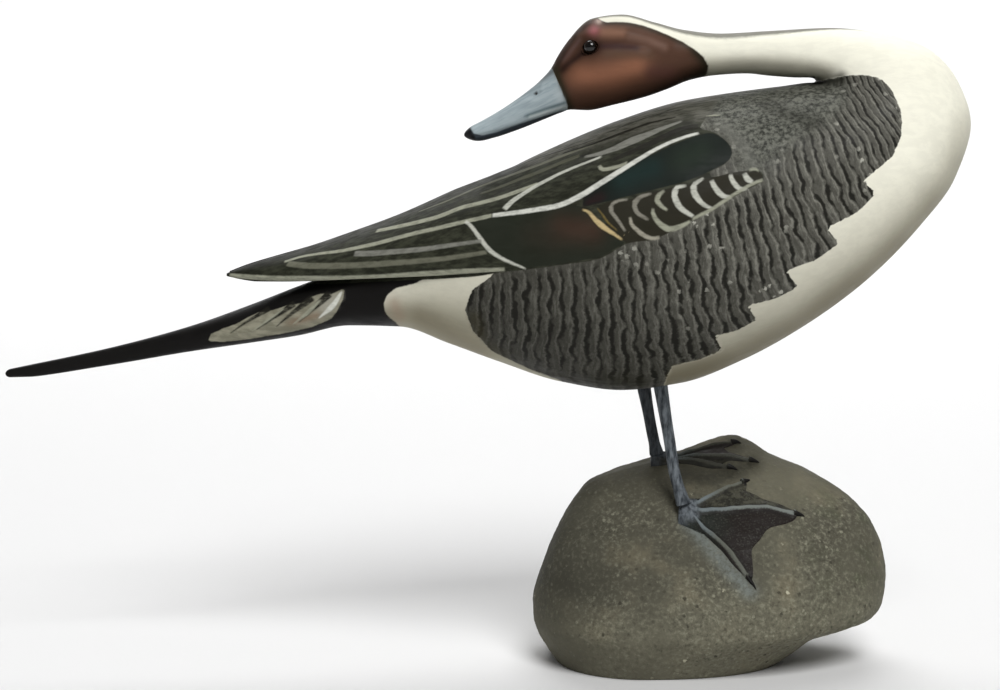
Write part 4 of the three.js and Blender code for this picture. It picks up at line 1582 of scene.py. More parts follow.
    def lined(self, recipe: Recipe, place: Socket, wobble: Socket, colour: Socket) -> tuple[Socket, Socket]:
        """Draw the fine brush lines, one coat over another.

        Args:
            recipe: where the nodes go.
            place: place in millimetres.
            wobble: how far the brush strays.
            colour: the colour under them.

        Returns:
            The colour with the lines, and where the paint stands up.
        """
        across, deep, up = recipe.parts(place)
        brush_place = recipe.vector(recipe.times(across, 0.3), deep, up)
        brushed = recipe.rise(recipe.cloud(brush_place, 1.6, 3.0, 0.6), 0.3, 0.6, 0.68, 1.0)
        raised: object = 0.0
        for coat in range(self.plumage.coats):
            signed, past, half = recipe.parts(recipe.triple(f"line_{coat}"))
            away = recipe.math("ABSOLUTE", signed)
            half = recipe.spread(wobble, 0.3, half)
            inked = recipe.rise(away, recipe.plus(half, 0.12), recipe.less(half, 0.24))
            inked = recipe.times(inked, recipe.times(recipe.rise(past, 0.15, -0.35), brushed))
            colour = recipe.mix(inked, colour, recipe.triple(f"line_{coat}_paint"))
            raised = recipe.math("MAXIMUM", inked, raised)
        return colour, raised


@dataclass
class Bird:
    """The carved and painted bird: one piece of body, neck, head, bill, tail and folded wings."""

    body: BodySkin = field(default_factory=BodySkin)
    plumage: Plumage = field(default_factory=Plumage)
    eye_place: tuple[float, float] = (-13.75, 107.62)
    eye_depth: float = 4.75
    socket_radius: float = 1.3
    belly_gap: float = 2.4
    belly_facing: float = -0.6
    # Painted shade: where the surface faces down, and along the body towards the tail.
    shade_below_facing: tuple[float, float] = (0.3, -0.7)
    shade_to_tail_run: tuple[float, float] = (25.0, -45.0)
    bar_pitch: float = 11.3
    bar_lean: float = 4.2e-7
    bar_middle: Pixel = (520, 235)
    bar_turn: Pixel = (882, 108)
    bar_turn_reach: float = 62
    bar_turn_lean: float = 0.045
    glow_edge: tuple[float, float] = (-0.2, 0.3)
    line_reach: float = 4.0
    head_from: float = 24.0
    head_blend: float = 1.5
    swells: tuple[Swell, ...] = (
        Swell(((590, 47),), 8, -0.22),
        Swell(((572, 59), (583, 52), (600, 45), (625, 43), (646, 45)), 5, -0.35),
        Swell(((582, 38), (600, 33), (624, 32), (645, 38), (664, 47)), 6, 0.3),
        Swell(((585, 76), (612, 72), (642, 70)), 15, 0.5),
        Swell(((533, 95.5), (539, 92)), 1.8, -0.35),
        Swell(((476, 136), (505, 130), (535, 120), (566, 109)), 1.6, -0.1),
    )
    nape_from: float = 19.0
    nape: tuple[Spot, ...] = (
        (-16.5, 0.4, 110.6), (-13.5, 0.4, 112.8), (-8.5, 0.3, 113.4), (-2, 0.1, 112.0), (3, 0, 110.8),
        (9, 0, 110.2), (17, 0, 110.6), (27, 0.8, 111.0), (34, 2.8, 110.6), (38, 5.0, 108.5),
        (37, 7.5, 105.5), (31, 8.6, 103.5))
    nape_shares: tuple[float, ...] = (0.0, 0.1, 0.2, 0.32, 0.8, 1.0)
    nape_half_widths: tuple[float, ...] = (1.4, 2.3, 2.8, 3.2, 3.5, 1.8)

    def build(self) -> Piece:
        """Carve the bird and note on its mesh where each paint goes.

        Returns:
            The bird, still without its material.
        """
        piece, skin_points, skin_places = self.body.build()
        for side in Side:
            Workbench.combine(piece, Wing(side).build(self.body), Joining.ADDED)
        for side in Side:
            Workbench.combine(piece, self.socket(side), Joining.CUT_AWAY)
        tree = KDTree(len(skin_points))
        for index, point in enumerate(skin_points):
            tree.insert(point, index)
        tree.balance()
        points = Workbench.points_of(piece)
        place = skin_places[[tree.find(point)[1] for point in points]]
        normals = Workbench.normals_of(piece)
        picture = VIEW.picture_of(mirrored(points))
        rise = sum(swell.height(picture) for swell in self.swells)
        rise = rise * ease(self.head_from, self.head_from + self.head_blend, place)
        points = points + normals * rise[:, None]
        Workbench.move_points(piece, points)
        self.note_weave(piece, picture)
        depths = {patch.name: patch.depth(picture, place) for patch in self.plumage.patches}
        belly = np.abs(points[:, 1]) - self.belly_gap
        underneath = normals[:, 2] < self.belly_facing
        depths["grey"] = np.where(underneath, np.minimum(depths["grey"], belly), depths["grey"])
        for name, depth in depths.items():
            Workbench.note(piece, "depth_" + name, depth)
        covering = [depth for name, depth in depths.items() if name != "stipple"]
        depths["cream"] = -np.max(covering, axis=0)
        # Painted shade: shares that darken the paint where the surface faces down and towards the tail.
        Workbench.note(piece, "shade_below", ease(*self.shade_below_facing, normals[:, 2]))
        Workbench.note(piece, "shade_to_tail", ease(*self.shade_to_tail_run, points[:, 0]))
        self.note_glows(piece, picture, depths)
        self.note_strokes(piece, points, normals)
        away, _, along = nearest_on_line(smooth_line(self.nape), points)
        width = np.interp(along, self.nape_shares, self.nape_half_widths)
        Workbench.note(piece, "nape", np.where(place > self.nape_from, away - width, OFF_NAPE))
        Workbench.smooth(piece, sharpest_deg=50)
        return piece

    def socket(self, side: Side) -> Piece:
        """Make the ball that cuts an eye's socket.

        Args:
            side: the side of the head.

        Returns:
            The ball.
        """
        spot = Vector((self.eye_place[0], side.value * self.eye_depth, self.eye_place[1])) * METRE
        size = self.socket_radius * METRE
        Workbench.clear()
        bpy.ops.mesh.primitive_uv_sphere_add(segments=40, ring_count=24, radius=size, location=spot)
        return Workbench.settle(bpy.context.object)

    def note_weave(self, piece: Piece, picture: np.ndarray) -> None:
        """Note where each vertex lies across and along the flank's wavy bars.

        Args:
            piece: the bird.
            picture: its vertices in the view.
        """
        across, down = picture.T
        lean = self.bar_lean * np.maximum(across - self.bar_middle[0], 0) ** 2 * (self.bar_middle[1] - down)
        beyond = np.hypot(across - self.bar_turn[0], down - self.bar_turn[1]) / self.bar_turn_reach
        lean -= self.bar_turn_lean * np.exp(-(beyond**2)) * (down - self.bar_turn[1])
        tread = across / self.bar_pitch + lean
        weave = np.stack([tread, down * VIEW.millimetres_a_pixel, np.zeros(len(picture))], axis=1)
        Workbench.note(piece, "weave", weave)

    def note_glows(self, piece: Piece, picture: np.ndarray, depths: dict[str, np.ndarray]) -> None:
        """Note the soft bands' colours, each laid over the ones before it.

        Args:
            piece: the bird.
            picture: its vertices in the view.
            depths: how deep they lie in each patch.
        """
        colour = np.zeros((len(picture), 3))
        share = np.zeros(len(picture))
        for glow in self.plumage.glows:
            here = glow.share(picture) * ease(*self.glow_edge, depths[glow.patch])
            laid = np.array(paint_colour(*glow.seen_colour))
            colour = colour * (1 - here[:, None]) + laid * here[:, None]
            share = 1 - (1 - share) * (1 - here)
        Workbench.note(piece, "glow", colour)
        Workbench.note(piece, "glow_share", share)

    def note_strokes(self, piece: Piece, points: np.ndarray, normals: np.ndarray) -> None:
        """Note how far each vertex is from the fine lines, in coats whose lines keep well apart.

        Args:
            piece: the bird.
            points: its vertices in millimetres.
            normals: the way they face.
        """
        skin = Workbench.surface_of(piece)
        laid = [stroke.laid_on(skin) for stroke in self.plumage.strokes]
        coats = self.shared_out(laid)
        near = mirrored(points)
        facing = normals * np.where(points[:, 1:2] > 0, np.array([1.0, -1.0, 1.0]), 1.0)
        for number, coat in enumerate(coats):
            values = np.tile([OFF_LINE, OFF_LINE, 0.0, OFF_LINE], (len(points), 1))
            paint = np.tile(np.array(Brush.PALE.value), (len(points), 1))
            for index in coat:
                line, stroke = laid[index], self.plumage.strokes[index]
                low, high = line.min(0) - self.line_reach, line.max(0) + self.line_reach
                rows = np.flatnonzero(np.all((near > low) & (near < high), axis=1))
                found = stroke.measure(line, near[rows], facing[rows])
                closer = found[:, 3] < values[rows, 3]
                values[rows[closer]] = found[closer]
                paint[rows[closer]] = stroke.brush.value
            Workbench.note(piece, f"line_{number}", values[:, :3])
            Workbench.note(piece, f"line_{number}_paint", paint)
        LOG.info("fine lines in each coat: %s", [len(coat) for coat in coats])

    def shared_out(self, laid: list[np.ndarray]) -> list[list[int]]:
        """Give each line to the first coat whose lines all keep well away from it.

        Args:
            laid: the laid lines.

        Returns:
            The numbers of the lines in each coat.
        """
        coats: list[list[int]] = [[] for _ in range(self.plumage.coats)]
        for index, line in enumerate(laid):
            room = []
            for coat in coats:
                gaps = (nearest_on_line(laid[other], line)[0].min() for other in coat)
                room.append(min(gaps, default=math.inf))
            free = [number for number, gap in enumerate(room) if gap > self.plumage.apart]
            coats[free[0] if free else int(np.argmax(room))].append(index)
        return coats


@dataclass(frozen=True)
class BeadGlass:
    """The dark glass of the eyes."""

    pupil: Colour = paint_colour(7, 5, 4)
    rim: Colour = paint_colour(26, 16, 10)
    rim_from: float = 0.75
    rim_blend: float = 0.3

    def material(self, centre: Spot) -> bpy.types.Material:
        """Mix the glass.

        Args:
            centre: the bead's middle in millimetres.

        Returns:
            The material.
        """
        made, recipe = new_recipe("bead_glass")
        place = recipe.place_mm()
        across, _, up = recipe.parts(place)
        away = recipe.node("VectorMath", operation="DISTANCE")
        recipe.feed(away.inputs[0], recipe.vector(across, 0.0, up))
        away.inputs[1].default_value = (centre[0], 0.0, centre[2])
        cloud = recipe.cloud(place, 2.5, 2.0)
        edge = recipe.spread(cloud, 0.15, away.outputs["Value"])
        rim = recipe.rise(edge, self.rim_from, self.rim_from + self.rim_blend)
        colour = recipe.mix(rim, self.pupil, self.rim)
        surface = recipe.node("BsdfPrincipled")
        recipe.feed(surface.inputs["Base Color"], colour)
        recipe.feed(surface.inputs["Roughness"], recipe.rise(cloud, 0.3, 0.7, 0.1, 0.15))
        surface.inputs["Specular IOR Level"].default_value = 0.5
        recipe.finish(surface)
        return made


@dataclass
class Eye:
    """One bead, set into the head."""

    side: Side
    bird: Bird
    radius: float = 1.25

    def build(self) -> Piece:
        """Turn the bead and dress it.

        Returns:
            The bead, in its glass.
        """
        x, z = self.bird.eye_place
        centre = (x, self.side.value * self.bird.eye_depth, z)
        Workbench.clear()
        bpy.ops.mesh.primitive_uv_sphere_add(
            segments=48, ring_count=32, radius=self.radius * METRE, location=Vector(centre) * METRE,
            rotation=(math.pi / 2, 0, 0))
        bead = Workbench.settle(bpy.context.object)
        bead.name = bead.data.name = f"eye_bead_{self.side.name.lower()}"
        bpy.ops.object.shade_smooth()
        bead.data.materials.append(BeadGlass().material(centre))
        return bead


@dataclass
class Rock:
    """The rounded, hand-shaped rock.

    A template gives a height, how far the outline reaches left, right, near and far, and its middle.
    """

    templates: tuple[tuple[float, ...], ...] = (
        (0.0, -19.4, 20.6, -15.6, 17.8, -4, 1),
        (1.6, -20.6, 23.0, -16.8, 18.8, -3, 1),
        (4.8, -22.6, 27.6, -18.8, 20.2, -1, 1),
        (7.6, -23.6, 36.4, -19.8, 21.0, 0, 1),
        (10.5, -23.6, 38.7, -19.4, 21.5, 2, 1),
        (15.0, -22.4, 39.2, -17.4, 21.6, 5, 1),
        (20.0, -20.6, 38.3, -14.0, 21.2, 8, 1),
        (24.5, -18.7, 36.4, -10.3, 20.5, 12, 1),
        (28.5, -16.2, 33.3, -6.3, 19.6, 13, 2),
        (31.2, -13.4, 29.6, -3.0, 18.7, 13, 3),
        (33.4, -6.8, 24.8, 0.6, 17.6, 12, 5),
        (35.4, 2.0, 19.2, 3.9, 16.0, 11, 8),
        (37.2, 8.0, 16.4, 7.2, 13.6, 12, 9.8),
        (38.3, 11.6, 13.4, 9.6, 10.6, 12.5, 10),
    )
    squareness: float = 2.15
    rings_between: int = 12
    around: int = 280
    trimmed: float = 0.22
    relief_from: tuple[float, float] = (0.2, 2.5)
    spill_facing: tuple[float, float] = (0.0, 0.3)
    facet_facing: tuple[float, float] = (-0.2, 0.2)
    fold_facing: tuple[float, float] = (-0.35, -0.05)
    above: float = 60.0
    spill: Swell = Swell(((688, 522), (707, 543), (730, 570), (750, 592)), 8, 0.9)
    # Painted highlight on a face of the rock that turns up to the light.
    lit_facet: Swell = Swell(((756, 472), (778, 480), (800, 492)), 18, 0.6)
    # Painted shadow on the rock round the far foot.
    folds: tuple[Swell, ...] = (
        Swell(((684, 458), (708, 452), (738, 449)), 9, 0.55),
        Swell(((684, 474), (706, 479), (728, 474), (752, 464)), 11, 0.85),
    )
    skin: BVHTree | None = None

    def rows(self) -> np.ndarray:
        """Draw the rings from the underside up.

        Returns:
            Points as rings by points by x, y, z.
        """
        steps = (len(self.templates) - 1) * self.rings_between
        sizes = template_at(self.templates, np.arange(steps + 1) / self.rings_between)
        height, left, right, near, far, middle_x, middle_y = sizes.T[:, :, None]
        angle = 2 * np.pi * np.arange(self.around) / self.around
        power = 2 / self.squareness
        across = np.abs(np.cos(angle)) ** power
        deep = np.abs(np.sin(angle)) ** power
        x = middle_x + np.where(np.cos(angle) > 0, right - middle_x, left - middle_x) * across
        y = middle_y + np.where(np.sin(angle) > 0, far - middle_y, near - middle_y) * deep
        return np.stack([x, y, np.broadcast_to(height, x.shape)], axis=2)

    def build(self) -> Piece:
        """Shape the rock and give it the unevenness of hand-worked filler.

        Returns:
            The rock, still without its material.
        """
        rock = Workbench.wrap("rock", self.rows())
        points = Workbench.points_of(rock)
        normals = Workbench.normals_of(rock)
        relief = np.array([self.unevenness(Vector(point)) for point in points])
        relief = (relief - self.trimmed) * ease(*self.relief_from, points[:, 2])
        points = points + normals * relief[:, None]
        Workbench.move_points(rock, points)
        picture = VIEW.picture_of(points)
        facing = -normals[:, 1]
        # Painted shadow round the far foot, where the rock faces the front.
        fold_shadow = np.max([swell.height(picture) for swell in self.folds], axis=0)
        Workbench.note(rock, "spill", self.spill.height(picture) * ease(*self.spill_facing, facing))
        Workbench.note(rock, "lit_facet", self.lit_facet.height(picture) * ease(*self.facet_facing, facing))
        Workbench.note(rock, "fold_shadow", fold_shadow * ease(*self.fold_facing, facing))
        Workbench.smooth(rock, sharpest_deg=60)
        corners = [vertex.co / METRE for vertex in rock.data.vertices]
        self.skin = BVHTree.FromPolygons(corners, [tuple(face.vertices) for face in rock.data.polygons])
        return rock

    @staticmethod
    def unevenness(point: Vector) -> float:
        """Work out how high the rock's lumps stand, or how deep its pits are.

        Args:
            point: a place on it, in millimetres.

        Returns:
            The height in millimetres.
        """
        broad = noise.noise(point * 0.09 + Vector((3.1, 7.7, 1.9)))
        dents = noise.noise(point * 0.28 + Vector((11.3, 2.4, 5.2)))
        fine = noise.turbulence(point * 0.8, 3, False)
        return 0.45 * broad + 0.16 * dents + 0.07 * fine

    def height(self, x: float, y: float) -> float:
        """Height of the rock's top over a point of its plan."""
        hit = self.skin.ray_cast(Vector((x, y, self.above)), Vector((0, 0, -1)))[0]
        return hit.z if hit is not None else 0.0


@dataclass(frozen=True)
class RockPaint:
    """Matt paint stippled on with a dry brush and sand."""

    brush_marks: bpy.types.NodeTree
    specks: bpy.types.NodeTree
    ground: Colour = paint_colour(100, 98, 84)
    shade: Colour = paint_colour(80, 78, 67)
    # Painted shade for the rock's left side.
    side: Colour = paint_colour(58, 57, 50)
    warm: Colour = paint_colour(114, 107, 88)
    # Painted highlight for the upturned face.
    lit_facet: Colour = paint_colour(102, 99, 84)
    spill: Colour = paint_colour(118, 126, 124)
    light: Colour = paint_colour(150, 149, 130)
    dark: Colour = paint_colour(50, 48, 41)
    sand: Colour = paint_colour(196, 192, 168)
    moss: Colour = paint_colour(74, 80, 60)
    low: Colour = paint_colour(122, 119, 102)
    # Painted shadow round the far foot.
    fold_shadow: Colour = paint_colour(42, 41, 34)

    def material(self) -> bpy.types.Material:
        """Mix the paint.

        Returns:
            The material.
        """
        made, recipe = new_recipe("rock_paint")
        place = recipe.place_mm()
        across, _, up = recipe.parts(place)
        broad = recipe.cloud(place, 0.045, 3.0, 0.55)
        colour = recipe.mix(recipe.rise(broad, 0.35, 0.68), self.shade, self.ground)
        warm_share = recipe.rise(recipe.cloud(place, 0.09, 3.0, 0.6), 0.5, 0.75, 0.0, 0.6)
        colour = recipe.mix(warm_share, colour, self.warm)
        # Painted shade darkens the rock's left side.
        left = recipe.rise(recipe.spread(broad, 16.0, across), 2.0, -12.0)
        colour = recipe.mix(recipe.times(left, 0.75), colour, self.side)
        # Painted highlight on the upturned face.
        colour = recipe.mix(recipe.amount("lit_facet"), colour, self.lit_facet)
        colour = recipe.mix(recipe.rise(up, 16.0, 5.0, 0.0, 0.45), colour, self.low)
        right = recipe.rise(across, 16.0, 40.0)
        moss_share = recipe.rise(recipe.cloud(place, 0.2, 3.0, 0.6), 0.5, 0.7, 0.0, 0.5)
        colour = recipe.mix(recipe.times(moss_share, right), colour, self.moss)
        stipple = recipe.cloud(place, 1.3, 4.0, 0.7)
        lightness = recipe.rise(stipple, 0.48, 0.68, 0.0, 0.5)
        darkness = recipe.rise(stipple, 0.48, 0.32, 0.0, 0.55)
        calm = recipe.rise(recipe.cloud(place, 0.07, 2.0), 0.42, 0.6, 0.45, 1.0)
        calm = recipe.times(calm, recipe.rise(left, 0.0, 1.0, 1.0, 0.45))
        sanded = recipe.times(recipe.rise(up, 33.0, 24.0, 0.2, 1.0), calm)
        colour = recipe.mix(recipe.times(lightness, sanded), colour, self.light)
        colour = recipe.mix(recipe.times(darkness, sanded), colour, self.dark)
        pale = recipe.group(self.specks, Place=place, Fineness=0.7, Share=0.03, Size=0.3).outputs["Specks"]
        small = recipe.group(self.specks, Place=place, Fineness=1.1, Share=0.1, Size=0.4).outputs["Specks"]
        pits = recipe.group(self.specks, Place=place, Fineness=0.95, Share=0.09, Size=0.4).outputs["Specks"]
        colour = recipe.mix(recipe.times(pits, recipe.times(sanded, 0.75)), colour, self.dark)
        colour = recipe.mix(recipe.times(small, recipe.times(sanded, 0.6)), colour, self.light)
        colour = recipe.mix(recipe.times(pale, recipe.times(sanded, 0.85)), colour, self.sand)
        # Painted shadow round the far foot, stippled a little.
        fold_shadow = recipe.times(recipe.amount("fold_shadow"), recipe.rise(stipple, 0.3, 0.7, 1.0, 0.75))
        colour = recipe.mix(fold_shadow, colour, self.fold_shadow)
        spill = recipe.times(recipe.amount("spill"), recipe.rise(stipple, 0.3, 0.6, 0.25, 0.8))
        colour = recipe.mix(spill, colour, self.spill)
        height = recipe.plus(stipple, recipe.times(recipe.plus(pale, small), 0.5))
        height = recipe.less(height, recipe.times(pits, 0.6))
        roughness = recipe.rise(stipple, 0.35, 0.65, 0.62, 0.85)
        Coat(0.5, 0.3).end(recipe, colour, roughness, height)
        return made


@dataclass
class Leg:
    """A painted wire with a webbed foot that follows the stone.

    Lengths are in millimetres. A share runs from 0 to 1 down the wire, or out along a toe or a claw.
    """

    name: str
    wire: tuple[Spot, ...]
    ankle: tuple[float, float]
    toes: tuple[tuple[float, float], ...]
    thigh_radius: float = 1.35
    wire_radius: float = 1.0
    ankle_radius: float = 1.25
    thigh_share: float = 0.6
    ankle_share: float = 0.86
    sides: int = 28
    steps: int = 70
    heel: float = 1.1
    web_thick: float = 0.42
    toe_rise: float = 0.42
    toe_half_width: float = 0.34
    taper_run: tuple[float, float] = (1.02, 0.6)
    web_taper: tuple[float, float] = (0.45, 0.55)
    toe_taper: tuple[float, float] = (0.6, 0.4)
    joint_rise: float = 0.14
    joints: tuple[tuple[float, float], ...] = ((0.42, 0.05), (0.74, 0.04))
    knuckle_rise: float = 1.5
    knuckle_reach: float = 1.7
    web_hollow: float = 0.2
    web_hollow_run: float = 0.35
    toe_half_angle: float = math.radians(3.2)
    toe_slant: float = 0.25
    spokes: int = 121
    foot_steps: int = 70
    sunk: float = 0.06
    claw_long: float = 1.9
    claw_half_width: float = 0.46
    claw_behind: float = 0.3
    claw_tall: float = 1.25
    claw_lift: float = 0.9
    claw_taper: tuple[float, float] = (0.55, 0.45)
    claw_rings: int = 14
    claw_sides: int = 18
    claw_middle_share: float = 0.25
    claw_paint_reach: float = 0.75
    claw_paint_edge: tuple[float, float] = (0.25, -0.15)
    claw_paint_from: tuple[float, float] = (2.0, 3.0)
    foot_paint_height: tuple[float, float] = (4.5, 3.0)
    outer_edge: tuple[float, float] = (-0.02, 0.02)

    def build(self, rock: Rock) -> Piece:
        """Bend the wire, lay the foot on the stone and join them.

        Args:
            rock: the stone.

        Returns:
            The leg, still without its material.
        """
        leg = self.bar()
        Workbench.combine(leg, self.foot(rock), Joining.ADDED)
        for toe in self.toes:
            Workbench.combine(leg, self.claw(toe, rock), Joining.ADDED)
        leg.name = leg.data.name = self.name
        self.note_parts(leg)
        Workbench.smooth(leg, sharpest_deg=55)
        return leg

    def bar(self) -> Piece:
        """Bend the wire, thick at the thigh and a little so at the ankle.

        Returns:
            The wire's solid.
        """
        line = smooth_line(self.wire, self.steps // (len(self.wire) - 1))
        share = np.linspace(0, 1, len(line))
        thigh, ankle = self.thigh_radius - self.wire_radius, self.ankle_radius - self.wire_radius
        radius = self.wire_radius + thigh * ease(self.thigh_share, 0.0, share)
        radius = radius + ankle * ease(self.ankle_share, 1.0, share)
        heading = np.gradient(line, axis=0)
        heading /= np.linalg.norm(heading, axis=1)[:, None]
        aside = np.cross([0.0, 1.0, 0.0], heading)
        aside /= np.linalg.norm(aside, axis=1)[:, None]
        over = np.cross(heading, aside)
        angle = 2 * np.pi * np.arange(self.sides) / self.sides
        ring = aside[:, None] * np.cos(angle)[None, :, None] + over[:, None] * np.sin(angle)[None, :, None]
        return Workbench.wrap("wire", line[:, None] + ring * radius[:, None, None])

    def toe_angles(self) -> list[tuple[float, float]]:
        """Direction and reach of each toe from the ankle."""
        aways = [(x - self.ankle[0], y - self.ankle[1]) for x, y in self.toes]
        return [(math.atan2(y, x), math.hypot(x, y)) for x, y in aways]

    def reach(self, angle: float) -> float:
        """Work out how far the foot reaches in one direction.

        Args:
            angle: the direction on the plan.

        Returns:
            Millimetres from the ankle.
        """
        toes = self.toe_angles()
        for (start, first), (end, second) in zip(toes, toes[1:]):
            share = (angle - start) / (end - start)
            if 0 <= share <= 1:
                near = min(share, 1 - share)
                hollow = self.web_hollow * float(ease(0.0, self.web_hollow_run, near))
                return (first + (second - first) * share) * (1 - hollow)
        nearest = min(toes, key=lambda toe: abs(angle - toe[0]))
        return nearest[1] * (1 - self.toe_slant * abs(angle - nearest[0]) / self.toe_half_angle)

    def foot(self, rock: Rock) -> Piece:
        """Lay the webbed sheet, with a rounded ridge along each toe, on the stone.

        Args:
            rock: the stone.

        Returns:
            The foot's solid.
        """
        toes = self.toe_angles()
        first, last = toes[0][0], toes[-1][0]
        beyond = self.toe_half_angle * math.copysign(1.0, first - last)
        middle = (first + last) / 2
        rings = []
        for angle in np.linspace(first + beyond, last - beyond, self.spokes):
            reach = self.reach(angle)
            out = np.linspace(-self.heel, reach, self.foot_steps)
            bend = ease(0.0, self.heel * 2, out + self.heel)
            way = middle + (angle - middle) * bend
            spread = self.heel * (angle - middle) / abs(first - last) * 2 * (1 - bend)
            x = self.ankle[0] + out * np.cos(way) - spread * np.sin(way)
            y = self.ankle[1] + out * np.sin(way) + spread * np.cos(way)
            ground = np.array([rock.height(px, py) for px, py in zip(x, y)])
            share = np.clip(out / reach, 0, 1)
            ridge = np.exp(-((self.toe_away(np.stack([x, y], axis=1)) / self.toe_half_width) ** 2))
            knuckle = self.knuckle_rise * np.exp(-((out / self.knuckle_reach) ** 2))
            taper = ease(*self.taper_run, share)
            web = self.web_thick * (self.web_taper[0] + self.web_taper[1] * taper)
            toe = self.toe_rise * (self.toe_taper[0] + self.toe_taper[1] * taper) * ridge
            bumps = sum(np.exp(-(((share - place) / wide) ** 2)) for place, wide in self.joints)
            joint = self.joint_rise * ridge * bumps
            top = np.stack([x, y, ground + web + toe + joint + knuckle], axis=1)
            sole = np.stack([x, y, ground - self.sunk], axis=1)
            rings.append(np.concatenate([top, sole[::-1]]))
        return Workbench.wrap("foot", np.array(rings))

    def toe_away(self, plan: np.ndarray) -> np.ndarray:
        """How far points of the plan are from the nearest toe's line."""
        ankle = np.array(self.ankle)
        return np.min([nearest_on_line(np.array([ankle, toe]), plan)[0] for toe in self.toes], axis=0)

    def heading(self, toe: tuple[float, float]) -> np.ndarray:
        """Direction of a toe on the plan, one long."""
        away = np.array(toe) - np.array(self.ankle)
        return away / np.linalg.norm(away)

    def claw(self, toe: tuple[float, float], rock: Rock) -> Piece:
        """Shape a claw past the end of a toe.

        Args:
            toe: the toe's end on the plan.
            rock: the stone it lies on.

        Returns:
            The claw's solid.
        """
        heading = self.heading(toe)
        share = np.linspace(0.02, 1.0, self.claw_rings)
        out = (share - self.claw_behind) * self.claw_long
        slender = self.claw_taper[0] + self.claw_taper[1] * (1 - share)
        radius = self.claw_half_width * np.sqrt(np.clip(1 - share**2, 0.01, 1)) * slender
        plan = np.array(toe) + heading * out[:, None]
        ground = np.array([rock.height(x, y) for x, y in plan])
        aside = np.array([-heading[1], heading[0], 0.0])
        angle = 2 * np.pi * np.arange(self.claw_sides) / self.claw_sides
        middle = np.concatenate([plan, (ground + radius * self.claw_lift)[:, None]], axis=1)
        upright = np.array([0.0, 0.0, self.claw_tall])
        ring = aside * np.cos(angle)[:, None] + upright * np.sin(angle)[:, None]
        return Workbench.wrap("claw", middle[:, None] + ring[None] * radius[:, None, None])

    def note_parts(self, leg: Piece) -> None:
        """Note on the mesh where its toes, claws and webs are.

        Args:
            leg: the leg.
        """
        points = Workbench.points_of(leg)
        plan = points[:, :2]
        away = plan - np.array(self.ankle)
        toes = self.toe_angles()
        angle = np.arctan2(away[:, 1], away[:, 0])
        out = np.hypot(away[:, 0], away[:, 1])
        ends = [np.linalg.norm(plan - self.claw_middle(toe), axis=1) for toe in self.toes]
        claw = np.max([ease(*self.claw_paint_edge, end - self.claw_paint_reach) for end in ends], axis=0)
        turn = math.copysign(1.0, toes[0][0] - toes[-1][0])
        Workbench.note(leg, "toe_away", self.toe_away(plan))
        Workbench.note(leg, "middle_away", nearest_on_line(np.array([self.ankle, self.toes[1]]), plan)[0])
        Workbench.note(leg, "out", out)
        Workbench.note(leg, "foot", ease(*self.foot_paint_height, points[:, 2] - self.wire[-1][2]))
        Workbench.note(leg, "claw", claw * ease(*self.claw_paint_from, out))
        Workbench.note(leg, "outer", ease(*self.outer_edge, (toes[1][0] - angle) * turn))

    def claw_middle(self, toe: tuple[float, float]) -> np.ndarray:
        """Plan place of a claw's middle."""
        return np.array(toe) + self.heading(toe) * self.claw_long * self.claw_middle_share


